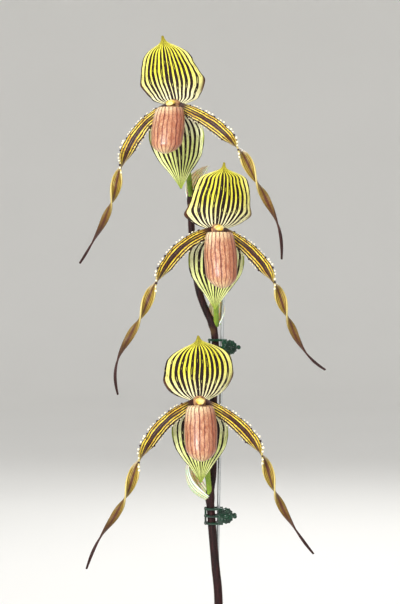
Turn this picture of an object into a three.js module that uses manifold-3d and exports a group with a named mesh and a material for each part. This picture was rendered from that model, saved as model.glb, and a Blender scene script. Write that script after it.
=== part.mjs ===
// A slipper orchid in a plain clay pot: a fan of strap leaves, one upright flower stem with three
// long-petalled blooms, and a wire stake that two spring clips hold to the stem.
// Millimetres, +Z up. The origin is the centre of the pot's underside, and the blooms face -Y.

import * as THREE from "three";
import { mergeVertices } from "three/addons/utils/BufferGeometryUtils.js";
import Module from "manifold-3d";

const wasm = await Module();
wasm.setup();

// Driving dimensions
const GAP = 0.3; // between pieces that touch in the real plant
const POT = {
  height: 112,
  topRadius: 62,
  footRadius: 45,
  wall: 5,
  floor: 7,
  rimHeight: 20,
  rimProud: 3.5,
  edge: 3,
  drainRadius: 5,
  drainCircle: 24,
};
const BARK = { top: 94, chips: 22, chipSize: [19, 13, 5], rise: 3, tilt: 30, golden: 2.39996 };
const CROWN = { y: -7, foot: 62, top: 123, halfWide: 14, halfDeep: 6.5, taper: 0.55 };
const STEM = { footRadius: 2.9, tipRadius: 2, foot: 84, nodeReach: 5, nodeProud: 0.5 };
const STAKE = { radius: 1, foot: [-3.8, 5.5, 30], tip: [3.9, -2.1, 408] };
const LEAF = {
  thickness: 1.4,
  footOut: 7.5,
  halfWidths: [9, 13, 16, 17.5, 18, 18, 17, 14.5, 9.5, 1.2],
  folds: [42, 32, 20, 14, 12, 13, 16],
  wave: 0.8,
};
const DORSAL = { foot: [3.2, 1], cup: 5, hood: 7, earRoll: 5, earDrop: 2.5, wave: 0.8 };
const SYNSEPAL = {
  foot: [3, -2],
  halfWidths: [4.2, 12, 16, 17, 16.8, 15.8, 13.6, 10.4, 6.6, 3.2, 0.5],
  back: 9,
  cup: 2.6,
  wave: 1.1,
};
const SEPAL_THICKNESS = 0.8;
const PETAL = {
  thickness: 0.9,
  halfWidths: [2.8, 3.4, 3.8, 3.9, 3.7, 3.4, 2.9, 2.3, 1.6, 1, 0.5],
  twist: [-20, -10, 0, 20, 90, 180, 270, 360, 430, 480, 520],
  foot: [3, -1.5],
  forward: 7,
  ruffle: 0.5,
  channel: 0.16,
  warts: 8,
  wartsStart: 0.07,
  wartsEnd: 0.42,
  wartRadius: 0.8,
};
const POUCH = {
  halfWidth: 9.8,
  halfDepth: 8.5,
  toeOut: -21,
  toeRise: 1.5,
  belly: 0.12,
  mouth: [-9.7, -0.8],
  wall: 0.09, // as a share of the half width
};
const HUB = { radii: [4.5, 5.5, 4.5], centre: [0, 1, 0] };
const TONGUE = { radii: [3.1, 5, 1.3], centre: [0, -7.5, 2.2], droop: 0.05 };
const OVARY = { girth: [1.6, 1.7, 2, 2.6, 3, 2.9, 2.4], rib: 0.1, heel: [0, 7.6, -1.6], neck: [0, 13, -9] };
const BRACT = { foot: 1, girth: [3.2, 5.4, 7, 7.2, 6, 4, 0.8], wrap: 112, thickness: 0.8 };

// The stem's centre line, from its foot in the crown to just above the upper bloom's joint
const STEM_LINE = [
  [0, -7, 84],
  [0.6, -6, 140],
  [0.7, -4, 195],
  [-1.2, -2.6, 218],
  [-3.3, -1.2, 242],
  [-3.8, -0.9, 250],
  [-4.6, -0.6, 259.5],
  [-4.2, -0.3, 266],
  [-2.8, 0, 279],
  [-2.4, 0, 320],
  [-1.2, -0.3, 349],
  [-1.6, -0.5, 361],
  [-3.2, -0.8, 369],
  [-6.6, -0.5, 376],
  [-11.6, 0, 390],
  [-15, 0, 413],
  [-16.3, 0, 435],
  [-16.4, 0, 452],
];

// Each bloom: heart is where its parts meet, turn is towards the viewer's right, and droop is how
// far a petal heads below level, in degrees, at even steps from its foot to its tip. pouchDrop is
// how far the pouch's toe hangs below the heart, and wide a bract's girth against BRACT's.
const BLOOMS = [
  {
    name: "upper",
    joint: [-16.3, 0, 446],
    heart: [-26.5, -38, 499.5],
    turn: -13,
    nod: 3,
    pouchDrop: 29,
    dorsal: {
      height: 41,
      lean: -5.5,
      bow: -2.6,
      skew: 1,
      halfWidths: [5, 13, 15.4, 17.8, 20.2, 17.8, 16.2, 14.8, 10.6, 2.6, 0.45],
    },
    synsepal: { length: 47, lean: 1 },
    petals: [
      { side: -1, length: 112, droop: [30, 58, 74, 60, 52] },
      { side: 1, length: 118, droop: [22, 38, 62, 66, 95] },
    ],
    bract: { towards: 40, length: 28, wide: 0.9, lean: [6, 26, 84] },
  },
  {
    name: "middle",
    joint: [-0.8, -1, 367],
    heart: [-0.4, -38, 424.7],
    turn: 7,
    nod: 0,
    pouchDrop: 34.5,
    dorsal: {
      height: 40,
      lean: 3.6,
      bow: 2,
      skew: 0,
      halfWidths: [5, 12.2, 16.8, 20.4, 18.8, 18, 17, 15.8, 13, 2.4, 0.45],
    },
    synsepal: { length: 45, lean: 0 },
    petals: [
      { side: -1, length: 120, droop: [18, 50, 66, 62, 105] },
      { side: 1, length: 107, droop: [30, 50, 68, 62, 30] },
    ],
    bract: { towards: 78, length: 22, wide: 0.72, lean: [8, 6, 0] },
  },
  {
    name: "lower",
    joint: [-4.6, -0.6, 259.5],
    heart: [-11.1, -38, 321.6],
    turn: 3,
    nod: 0,
    pouchDrop: 33,
    dorsal: {
      height: 39.5,
      lean: -1,
      bow: 0,
      skew: 2,
      halfWidths: [5, 12, 16.4, 19.2, 21, 20.6, 19.8, 17.7, 11.9, 3, 0.45],
    },
    synsepal: { length: 47, lean: 1.5 },
    petals: [
      { side: -1, length: 121, droop: [24, 52, 70, 56, 72] },
      { side: 1, length: 115, droop: [26, 46, 71, 60, 50] },
    ],
    bract: { towards: 155, length: 30, wide: 0.85, lean: [50, 26, 0] },
  },
];

// Each leaf: towards is its compass direction from +X, and rise its slope above level, in degrees
const LEAVES = [
  { towards: 186, foot: 101.5, length: 190, rise: [34, 6, -40], roll: 8 },
  { towards: -8, foot: 104, length: 205, rise: [40, 10, -38], roll: -10 },
  { towards: 170, foot: 107, length: 225, rise: [47, 12, -36], roll: -6 },
  { towards: 12, foot: 110, length: 218, rise: [50, 12, -36], roll: 10 },
  { towards: 202, foot: 113, length: 170, rise: [56, 16, -30], roll: 6 },
  { towards: -26, foot: 116.5, length: 150, rise: [58, 18, -24], roll: -8 },
];

// The clip: x runs from its hinge towards the thumb pads, z is up
const CLIP = {
  places: [
    { name: "upper", at: [6.9, -0.7, 354] },
    { name: "lower", at: [4.5, -0.7, 249] },
  ],
  stemFromHinge: 8.1,
  gripRadius: 3.1,
  barThick: 1.3,
  barTall: 1.5,
  barPitch: 4.5,
  padRadius: 4.3,
  padCentre: 0.9,
  padThick: 1.1,
  padLobes: 12,
  padDome: 0.9,
  padRib: 0.7,
  tab: { reach: 7.6, radius: 1.3 },
  tip: { thick: 1.6, y: -1.1 },
  web: { wide: 3, x: -2.6 },
  pin: { radius: 0.7, half: 4 },
  lug: { radius: 1.8, frontBottom: 2.5, rearBottom: 1.2, tall: 1 },
  spring: { radius: 1.8, groove: 0.3, half: 0.9 },
};

// Small helpers
const { clamp, degToRad, lerp, seededRandom } = THREE.MathUtils;
const vector = (x, y, z) => new THREE.Vector3(x, y, z);

/** The value at t, from 0 to 1, of a smooth line through evenly spaced stations. */
function along(stations, t) {
  const last = stations.length - 1;
  const x = clamp(t, 0, 1) * last;
  const i = Math.min(Math.floor(x), last - 1);
  const f = x - i;
  const [a, b, c, d] = [i - 1, i, i + 1, i + 2].map((k) => stations[clamp(k, 0, last)]);
  const curve = (2 * a - 5 * b + 4 * c - d) * f * f + (3 * b - a - 3 * c + d) * f * f * f;
  return 0.5 * (2 * b + (c - a) * f + curve);
}

/** How far out and up a line has come at share s of its length, where slopes are degrees above level. */
function walk(length, slopes, s) {
  const steps = 40;
  let out = 0;
  let up = 0;
  for (let k = 0; k < steps; k += 1) {
    const slope = degToRad(along(slopes, ((k + 0.5) / steps) * s));
    out += Math.cos(slope);
    up += Math.sin(slope);
  }
  return [(out * length * s) / steps, (up * length * s) / steps];
}

/** A rounded bump of height 1 at centre, which is gone at reach to either side. */
function bump(t, centre, reach) {
  const x = clamp(Math.abs(t - centre) / reach, 0, 1);
  return (1 - x * x) ** 2;
}

/** A geometry as a solid for joining and cutting. */
function solid(geometry) {
  const bare = geometry.index ? geometry.clone() : geometry;
  bare.deleteAttribute("normal");
  bare.deleteAttribute("uv");
  const merged = mergeVertices(bare, 1e-4);
  const mesh = { numProp: 3, vertProperties: merged.attributes.position.array };
  return new wasm.Manifold(new wasm.Mesh({ ...mesh, triVerts: new Uint32Array(merged.index.array) }));
}

/** The largest body of a solid, without loose scraps or hollows that joining has sealed. */
function oneBody(shape) {
  return shape.decompose().reduce((best, body) => (body.volume() > best.volume() ? body : best));
}

/** A solid as a geometry again. */
function geometryOf(shape) {
  const mesh = oneBody(shape).getMesh();
  const made = new THREE.BufferGeometry();
  made.setAttribute("position", new THREE.BufferAttribute(new Float32Array(mesh.vertProperties), 3));
  made.setIndex(new THREE.BufferAttribute(new Uint32Array(mesh.triVerts), 1));
  return made;
}

/** Moves every vertex of a geometry to where place(x, y, z) says. */
function bend(geometry, place) {
  const position = geometry.attributes.position;
  for (let i = 0; i < position.count; i += 1) {
    const p = place(position.getX(i), position.getY(i), position.getZ(i));
    position.setXYZ(i, p.x, p.y, p.z);
  }
  return geometry;
}

/** A thin closed solid: a sheet, across -1 to 1 and along 0 to 1, bent by place and made thick. */
function blade(place, across, lengthwise, thickness) {
  const sheet = new THREE.PlaneGeometry(2, 1, across, lengthwise);
  const flat = sheet.attributes.position;
  const count = flat.count;
  const points = new Float32Array(count * 6);
  const e = 1e-3;
  for (let i = 0; i < count; i += 1) {
    const u = flat.getX(i);
    const v = flat.getY(i) + 0.5;
    const sideways = place(u + e, v).sub(place(u - e, v));
    const onwards = place(u, Math.min(v + e, 1)).sub(place(u, Math.max(v - e, 0)));
    const normal = sideways.cross(onwards).setLength(thickness / 2);
    place(u, v).add(normal).toArray(points, i * 3);
    place(u, v).sub(normal).toArray(points, (i + count) * 3);
  }
  const front = sheet.index.array;
  const edges = new Set();
  const faces = [];
  for (let i = 0; i < front.length; i += 3) {
    const [a, b, c] = front.slice(i, i + 3);
    faces.push(a, b, c, a + count, c + count, b + count);
    [[a, b], [b, c], [c, a]].forEach(([from, to]) => edges.add(`${from} ${to}`));
  }
  for (const edge of edges) {
    const [a, b] = edge.split(" ").map(Number);
    if (!edges.has(`${b} ${a}`)) faces.push(b, a, a + count, b, a + count, b + count);
  }
  const made = new THREE.BufferGeometry();
  made.setAttribute("position", new THREE.BufferAttribute(points, 3));
  made.setIndex(faces);
  return solid(made);
}

/** A closed tube along a line of points, where radius(t, angle) gives its section. */
function tube(line, radius, sides, steps) {
  const route = new THREE.CatmullRomCurve3(line.map((p) => vector(...p)));
  const x = vector(1, 0, 0);
  return solid(
    bend(new THREE.CylinderGeometry(1, 1, 1, sides, steps), (px, py, pz) => {
      const t = py + 0.5;
      const heading = route.getTangentAt(t);
      const back = heading.clone().cross(x).normalize();
      const right = back.clone().cross(heading);
      const r = radius(t, Math.atan2(pz, px));
      return route.getPointAt(t).addScaledVector(right, r * px).addScaledVector(back, -r * pz);
    }),
  );
}

/** A ball squeezed to three radii and set at a centre. */
function ellipsoid([rx, ry, rz], [x, y, z], around, rings) {
  return solid(new THREE.SphereGeometry(1, around, rings).scale(rx, ry, rz).translate(x, y, z));
}

/** An upright cylinder between two heights. */
function post(x, y, low, high, radius, sides) {
  const made = new THREE.CylinderGeometry(radius, radius, high - low, sides);
  return solid(made.rotateX(Math.PI / 2).translate(x, y, (low + high) / 2));
}

const part = new THREE.Group();

/** Adds a solid to a group as a named mesh. */
function add(group, name, shape, material) {
  const mesh = new THREE.Mesh(geometryOf(shape), material);
  mesh.name = name;
  group.add(mesh);
  return mesh;
}

function finish(color, roughness, metalness = 0) {
  return new THREE.MeshStandardMaterial({ color, roughness, metalness });
}

const CLAY = finish(0xb5663f, 0.9);
const BARK_BROWN = finish(0x6b4630, 0.95);
const LEAF_GREEN = finish(0x2f5d2a, 0.4);
const STEM_MAROON = finish(0x4a1c22, 0.6);
const SEPAL_YELLOW = finish(0xdcd65a, 0.5);
const PETAL_OCHRE = finish(0xa8791f, 0.5);
const POUCH_SALMON = finish(0xc88767, 0.45);
const OVARY_GREEN = finish(0x6e8b1f, 0.6);
const COLUMN_CREAM = finish(0xe6cf6a, 0.5);
const BRACT_CREAM = finish(0xd3d996, 0.6);
const STEEL = finish(0xb8bcbf, 0.35, 1);
const CLIP_GREEN = finish(0x12583c, 0.35);

// Pot and bark
const wallAt = (z) => lerp(POT.footRadius, POT.topRadius, z / POT.height);

function pot() {
  const { height, wall, floor, rimHeight, rimProud, edge } = POT;
  const rimFoot = height - rimHeight;
  const profile = [
    [0, 0],
    [POT.footRadius - edge, 0],
    [POT.footRadius, edge],
    [wallAt(rimFoot), rimFoot],
    [wallAt(rimFoot) + rimProud, rimFoot + edge],
    [POT.topRadius + rimProud, height - edge],
    [POT.topRadius + rimProud - edge, height],
    [POT.topRadius - wall + edge, height],
    [POT.topRadius - wall, height - edge],
    [wallAt(floor) - wall, floor],
    [0, floor],
  ];
  const points = profile.map(([r, z]) => new THREE.Vector2(r, z));
  let body = solid(new THREE.LatheGeometry(points, 28).rotateX(Math.PI / 2));
  for (let k = 0; k < 4; k += 1) {
    const angle = degToRad(45 + 90 * k);
    const [x, y] = [POT.drainCircle * Math.cos(angle), POT.drainCircle * Math.sin(angle)];
    body = body.subtract(post(x, y, -1, floor + 1, POT.drainRadius, 10));
  }
  return body;
}

function bark(holes) {
  const { wall, floor } = POT;
  const inside = (z) => wallAt(z) - wall - GAP;
  const profile = [
    [0, floor + GAP],
    [inside(floor) - 1, floor + GAP],
    [inside(BARK.top) - 0.5, BARK.top],
    [0, BARK.top],
  ];
  const points = profile.map(([r, z]) => new THREE.Vector2(r, z));
  const chips = [solid(new THREE.LatheGeometry(points, 24).rotateX(Math.PI / 2))];
  for (let k = 0; k < BARK.chips; k += 1) {
    const size = BARK.chipSize.map((full) => full * lerp(0.75, 1.25, seededRandom()));
    const reach = (inside(BARK.top) - size[0] * 0.75) * Math.sqrt((k + 0.5) / BARK.chips);
    const angle = k * BARK.golden;
    const chip = new THREE.BoxGeometry(...size);
    chip.rotateX(degToRad(lerp(-BARK.tilt, BARK.tilt, seededRandom())));
    chip.rotateY(degToRad(lerp(-BARK.tilt, BARK.tilt, seededRandom())));
    chip.rotateZ(degToRad(lerp(0, 360, seededRandom())));
    const height = BARK.top + BARK.rise * seededRandom();
    chip.translate(reach * Math.cos(angle), reach * Math.sin(angle), height);
    chips.push(solid(chip));
  }
  return chips.reduce((whole, chip) => whole.add(chip)).subtract(holes);
}

// Crown, leaves and stem
function crown(spare) {
  const { foot, top, y, halfWide, halfDeep, taper } = CROWN;
  return solid(
    bend(new THREE.CylinderGeometry(1, 1, 1, 14, 6), (px, py, pz) => {
      const narrowing = 1 - (1 - taper) * (py + 0.5) ** 2;
      const x = (halfWide * narrowing + spare) * px;
      const depth = (halfDeep * narrowing + spare) * pz;
      return vector(x, y - depth, lerp(foot - spare, top + spare, py + 0.5));
    }),
  );
}

const stemRadius = (t) => lerp(STEM.footRadius, STEM.tipRadius, t);
const STEM_JOINTS = BLOOMS.map((bloom) => bloom.joint[2]);

function stem(spare) {
  const height = (t) => lerp(STEM.foot, STEM_LINE.at(-1)[2], t);
  const swelling = (t) => Math.max(...STEM_JOINTS.map((z) => bump(height(t), z, STEM.nodeReach)));
  return tube(STEM_LINE, (t) => stemRadius(t) + STEM.nodeProud * swelling(t) + spare, 7, 28);
}

function stake(spare) {
  const [foot, tip] = [vector(...STAKE.foot), vector(...STAKE.tip)];
  const run = tip.clone().sub(foot);
  const radius = STAKE.radius + spare;
  const lean = new THREE.Quaternion().setFromUnitVectors(vector(0, 1, 0), run.clone().normalize());
  const rod = new THREE.CylinderGeometry(radius, radius, run.length() + 2 * spare, 10);
  const middle = foot.lerp(tip, 0.5);
  return solid(rod.applyQuaternion(lean).translate(middle.x, middle.y, middle.z));
}

function leafPoint(leaf, u, s) {
  const compass = degToRad(leaf.towards);
  const outwards = vector(Math.cos(compass), Math.sin(compass), 0);
  const sideways = vector(-Math.sin(compass), Math.cos(compass), 0);
  const slope = degToRad(along(leaf.rise, s));
  const [out, up] = walk(leaf.length, leaf.rise, s);
  const upwards = outwards.clone().multiplyScalar(-Math.sin(slope)).setZ(Math.cos(slope));
  const half = along(LEAF.halfWidths, s);
  const fold = degToRad(along(LEAF.folds, s));
  const roll = degToRad(leaf.roll * s);
  const flat = half * u * Math.cos(fold);
  const lift = half * (Math.sqrt(u * u + 0.01) - 0.1) * Math.sin(fold);
  const wave = LEAF.wave * Math.sin(s * 11 + leaf.towards) * u * u * bump(s, 0.55, 0.5);
  return vector(0, CROWN.y, leaf.foot + up)
    .addScaledVector(outwards, LEAF.footOut + out)
    .addScaledVector(sideways, flat * Math.cos(roll) - lift * Math.sin(roll))
    .addScaledVector(upwards, lift * Math.cos(roll) + flat * Math.sin(roll) + wave);
}

// Bloom parts, in the bloom's own frame: x to the viewer's right, y away from the viewer
function dorsalPoint({ height, lean, bow, skew, halfWidths }, u, v) {
  const half = Math.max(along(halfWidths, v), 0.4);
  const margin = clamp((Math.abs(u) - 0.7) / 0.3, 0, 1) ** 2;
  const ear = margin * bump(v, 0.3, 0.3);
  const wave = DORSAL.wave * Math.sin(v * 24 + u * 2) * Math.abs(u) ** 3 * bump(v, 0.45, 0.45);
  return vector(
    half * u + lean * v * v + bow * Math.sin(Math.PI * v),
    DORSAL.foot[0] + DORSAL.cup * u * u * (half / 20) - DORSAL.hood * v * v + DORSAL.earRoll * ear + wave,
    DORSAL.foot[1] + height * v + skew * u * Math.sin(Math.PI * v) - DORSAL.earDrop * ear,
  );
}

function synsepalPoint({ length, lean }, u, v) {
  const half = along(SYNSEPAL.halfWidths, v);
  const wave = SYNSEPAL.wave * Math.sin(v * 19 + u * 2.5) * Math.abs(u) ** 3 * bump(v, 0.5, 0.5);
  return vector(
    half * u + lean * v,
    SYNSEPAL.foot[0] + SYNSEPAL.back * v - SYNSEPAL.cup * u * u * (half / 16) * (1 - v) + wave,
    SYNSEPAL.foot[1] - length * v,
  );
}

function petalPoint({ side, length, droop }, u, s) {
  const [out, up] = walk(length, droop.map((d) => -d), s);
  const slope = degToRad(along(droop, s));
  const twist = degToRad(along(PETAL.twist, s));
  const half = along(PETAL.halfWidths, s);
  const upper = vector(side * Math.sin(slope), 0, Math.cos(slope));
  const facing = vector(0, -1, 0);
  const across = upper.clone().multiplyScalar(Math.cos(twist)).addScaledVector(facing, Math.sin(twist));
  const outer = upper.multiplyScalar(-Math.sin(twist)).addScaledVector(facing, Math.cos(twist));
  const ruffle = PETAL.ruffle * Math.sin(s * 50) * u * u * bump(s, 0.22, 0.3);
  const [footOut, footY] = PETAL.foot;
  return vector(side * (footOut + out), footY - PETAL.forward * Math.sin(Math.PI * s), up)
    .addScaledVector(across, half * u)
    .addScaledVector(outer, ruffle - PETAL.channel * half * u * u);
}

function petal(shape) {
  const ribbon = blade((u, s) => petalPoint(shape, u, s), 2, 24, PETAL.thickness);
  const warts = [];
  for (let k = 0; k < PETAL.warts; k += 1) {
    const s = lerp(PETAL.wartsStart, PETAL.wartsEnd, k / (PETAL.warts - 1));
    const size = PETAL.wartRadius * (k % 2 ? 1 : 0.75);
    for (const u of k % 3 ? [1] : [1, -1]) {
      const at = petalPoint(shape, u, s);
      warts.push(solid(new THREE.OctahedronGeometry(size).translate(at.x, at.y, at.z)));
    }
  }
  return warts.reduce((whole, wart) => whole.add(wart), ribbon);
}

/** The slipper: a cup with its rim rolled in, squeezed and tipped forwards. */
function pouch(drop) {
  const outside = [];
  for (const a of [0, 22, 44, 66, 90]) {
    outside.push([Math.sin(degToRad(a)) * 0.98, 0.27 * (1 - Math.cos(degToRad(a)))]);
  }
  outside.push([1, 0.45], [0.97, 0.65], [0.91, 0.83], [0.8, 0.94], [0.66, 0.99]);
  const inside = outside
    .slice(1)
    .filter((_, k) => k % 2 === 0)
    .reverse()
    .map(([r, h]) => [Math.max(r - POUCH.wall, 0.3), Math.max(h - 0.02, 0.06)]);
  const profile = [...outside, [0.56, 0.985], ...inside, [0, 0.045]];
  const points = profile.map(([r, h]) => new THREE.Vector2(r, h));
  const { halfWidth, halfDepth, toeOut, toeRise, mouth } = POUCH;
  return solid(
    bend(new THREE.LatheGeometry(points, 14), (x, h, z) => {
      const belly = 1 + (z > 0 ? POUCH.belly * bump(h, 0.3, 0.5) : 0);
      return vector(
        halfWidth * x,
        lerp(toeOut, mouth[0], h) - halfDepth * belly * z,
        lerp(-drop, mouth[1], h) - toeRise * z * (1 - h),
      );
    }),
  );
}

function column(spare) {
  const tongue = new THREE.SphereGeometry(1, 8, 5).scale(...TONGUE.radii.map((r) => r + spare));
  bend(tongue, (x, y, z) => vector(x, y, z - TONGUE.droop * (y - 2) ** 2));
  const hub = ellipsoid(HUB.radii.map((r) => r + spare), HUB.centre, 10, 6);
  return hub.add(solid(tongue.translate(...TONGUE.centre)));
}

function ovaryLine(bloom, place) {
  const heel = vector(...OVARY.heel).applyMatrix4(place);
  const neck = vector(...OVARY.neck).applyMatrix4(place);
  const joint = vector(...bloom.joint);
  const low = joint.clone().lerp(neck, 0.3).add(vector(0, 1, 3));
  return [joint, low, neck, heel].map((p) => p.toArray());
}

function ovary(line, spare) {
  const ribbed = (angle) => 1 + OVARY.rib * Math.cos(3 * angle);
  const section = (t, angle) => along(OVARY.girth, t) * ribbed(angle) + spare;
  return tube(line, section, 9, 8);
}

function bractPoint(bloom, u, s) {
  const { towards, length, wide, lean } = bloom.bract;
  const compass = degToRad(towards);
  const outwards = vector(Math.cos(compass), Math.sin(compass), 0);
  const sideways = vector(-Math.sin(compass), Math.cos(compass), 0);
  const [up, out] = walk(length, lean, s);
  const slope = degToRad(along(lean, s));
  const under = outwards.clone().multiplyScalar(Math.cos(slope)).setZ(-Math.sin(slope));
  const girth = along(BRACT.girth, s) * wide;
  const round = degToRad(BRACT.wrap * u * (1 - 0.35 * s));
  return vector(...bloom.joint)
    .add(vector(0, -3 * s, BRACT.foot + up))
    .addScaledVector(outwards, out)
    .addScaledVector(under, girth * Math.cos(round))
    .addScaledVector(sideways, girth * Math.sin(round));
}

// Clip jaws, pins and springs, with the hinge on the z axis and the front jaw on the -y side
function jawOutline() {
  const { stemFromHinge, gripRadius, barThick } = CLIP;
  const outer = gripRadius + barThick;
  const [start, end] = [degToRad(184), degToRad(270)];
  const outline = new THREE.Shape();
  outline.absarc(-stemFromHinge, 0, outer, start, end, false);
  outline.lineTo(-1, -outer);
  outline.lineTo(-1, -gripRadius);
  outline.absarc(-stemFromHinge, 0, gripRadius, end, start, true);
  return outline;
}

function jawBar(z) {
  const depth = CLIP.barTall;
  const made = new THREE.ExtrudeGeometry(jawOutline(), { depth, bevelEnabled: false, curveSegments: 3 });
  return solid(made.translate(0, 0, z - depth / 2));
}

/** A block in a jaw, given by its size and its centre. */
function block(size, centre) {
  return solid(new THREE.BoxGeometry(...size).translate(...centre));
}

/** The round thumb pad, with ribs that run out from a raised middle. */
function thumbPad() {
  const { gripRadius, padRadius, padCentre, padThick, padLobes, padDome, padRib } = CLIP;
  const middle = -gripRadius - padThick / 2;
  const pad = new THREE.CylinderGeometry(padRadius, padRadius, padThick, 2 * padLobes);
  pad.translate(0, middle, 0);
  bend(pad, (x, y, z) => {
    const ridge = Math.round((Math.atan2(x, z) / Math.PI) * padLobes) % 2 ? padRib : 0;
    const proud = Math.hypot(x, z) > padRadius / 2 ? ridge : padDome;
    return vector(x, y < middle ? y - proud : y, z);
  });
  return solid(pad.translate(padCentre, 0, 0));
}

function jaw(lugBottom) {
  const { stemFromHinge, gripRadius, barThick, barTall, barPitch, padThick, tab, tip, web, pin, lug } = CLIP;
  const tall = 2 * barPitch + barTall;
  const tabDisc = new THREE.CylinderGeometry(tab.radius, tab.radius, padThick, 10);
  const pieces = [
    thumbPad(),
    ...[-barPitch, 0, barPitch].map(jawBar),
    block([barThick, tip.thick, tall], [-stemFromHinge - gripRadius - barThick / 2, tip.y, 0]),
    block([web.wide, barThick, tall], [web.x, -gripRadius - barThick / 2, 0]),
    solid(tabDisc.translate(tab.reach - tab.radius, -gripRadius - padThick / 2, 0)),
  ];
  const neck = gripRadius + padThick / 2;
  for (const low of [lugBottom, -lugBottom - lug.tall]) {
    pieces.push(post(0, 0, low, low + lug.tall, lug.radius, 10));
    pieces.push(block([1.8 * lug.radius, neck, lug.tall], [0, -neck / 2, low + lug.tall / 2]));
  }
  return pieces.reduce((whole, piece) => whole.add(piece)).subtract(post(0, 0, -6, 6, pin.radius + GAP, 10));
}

function spring() {
  const { radius, groove, half } = CLIP.spring;
  const inner = CLIP.pin.radius + GAP;
  const profile = [
    [inner, -half],
    [radius - groove, -half],
  ];
  for (let k = 1; k < 6; k += 1) {
    profile.push([radius - (k % 2 ? 0 : groove), lerp(-half, half, k / 6)]);
  }
  profile.push([radius - groove, half], [inner, half], [inner, -half]);
  const points = profile.map(([r, z]) => new THREE.Vector2(r, z));
  return solid(new THREE.LatheGeometry(points, 10).rotateX(Math.PI / 2));
}

// Assembly
const stemRoom = stem(GAP);
const crownRoom = crown(GAP);
const stakeRoom = stake(GAP);

add(part, "pot", pot(), CLAY);
add(part, "potting_bark", bark(crownRoom.add(stakeRoom)), BARK_BROWN);
add(part, "crown", crown(0).subtract(stemRoom), LEAF_GREEN);
LEAVES.forEach((leaf, k) => {
  const shape = blade((u, s) => leafPoint(leaf, u, s), 4, 12, LEAF.thickness);
  add(part, `leaf_${k + 1}`, shape.subtract(crownRoom).subtract(stemRoom), LEAF_GREEN);
});
add(part, "flower_stem", stem(0), STEM_MAROON);
add(part, "stake", stake(0), STEEL);

for (const bloom of BLOOMS) {
  const head = new THREE.Group();
  head.position.set(...bloom.heart);
  head.rotation.set(degToRad(bloom.nod), 0, degToRad(bloom.turn), "ZYX");
  head.updateMatrix();
  part.add(head);
  const centreRoom = column(GAP);
  const dorsal = blade((u, v) => dorsalPoint(bloom.dorsal, u, v), 8, 10, SEPAL_THICKNESS);
  const synsepal = blade((u, v) => synsepalPoint(bloom.synsepal, u, v), 6, 9, SEPAL_THICKNESS);
  add(head, `dorsal_sepal_${bloom.name}`, dorsal.subtract(centreRoom), SEPAL_YELLOW);
  add(head, `synsepal_${bloom.name}`, synsepal.subtract(centreRoom), SEPAL_YELLOW);
  bloom.petals.forEach((shape) => {
    const side = shape.side < 0 ? "left" : "right";
    add(head, `petal_${side}_${bloom.name}`, petal(shape).subtract(centreRoom), PETAL_OCHRE);
  });
  add(head, `pouch_${bloom.name}`, pouch(bloom.pouchDrop).subtract(centreRoom), POUCH_SALMON);
  add(head, `column_${bloom.name}`, column(0), COLUMN_CREAM);
  const line = ovaryLine(bloom, head.matrix);
  add(part, `ovary_${bloom.name}`, ovary(line, 0).subtract(stemRoom), OVARY_GREEN);
  const bract = blade((u, s) => bractPoint(bloom, u, s), 6, 6, BRACT.thickness);
  const free = bract.subtract(stemRoom).subtract(ovary(line, GAP)).subtract(stakeRoom);
  add(part, `bract_${bloom.name}`, free, BRACT_CREAM);
}

for (const place of CLIP.places) {
  const { pin, lug } = CLIP;
  const clip = new THREE.Group();
  clip.position.set(...place.at);
  part.add(clip);
  add(clip, `clip_front_jaw_${place.name}`, jaw(lug.frontBottom), CLIP_GREEN);
  add(clip, `clip_rear_jaw_${place.name}`, jaw(lug.rearBottom), CLIP_GREEN).rotation.x = Math.PI;
  add(clip, `clip_pin_${place.name}`, post(0, 0, -pin.half, pin.half, pin.radius, 10), STEEL);
  add(clip, `clip_spring_${place.name}`, spring(), STEEL);
}

export default part;
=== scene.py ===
import math
from functools import cache
from random import Random

import bmesh
import bpy
from mathutils import Matrix, Vector


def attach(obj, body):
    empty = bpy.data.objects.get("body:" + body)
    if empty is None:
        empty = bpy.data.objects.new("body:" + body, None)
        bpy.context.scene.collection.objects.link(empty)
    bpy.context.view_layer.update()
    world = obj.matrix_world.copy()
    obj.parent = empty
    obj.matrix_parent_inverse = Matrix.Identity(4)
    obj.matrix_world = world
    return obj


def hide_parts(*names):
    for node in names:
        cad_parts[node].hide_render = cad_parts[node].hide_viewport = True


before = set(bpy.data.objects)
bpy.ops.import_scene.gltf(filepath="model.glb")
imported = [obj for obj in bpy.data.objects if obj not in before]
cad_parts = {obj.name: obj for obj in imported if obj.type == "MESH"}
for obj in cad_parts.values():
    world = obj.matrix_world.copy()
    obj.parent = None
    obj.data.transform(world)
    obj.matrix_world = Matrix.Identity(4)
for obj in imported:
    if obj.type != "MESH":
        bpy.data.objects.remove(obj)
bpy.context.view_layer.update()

MM = 0.001
PLANT = "plant"
TURN = 2 * math.pi
GOLDEN_ANGLE = 2.39996

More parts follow.
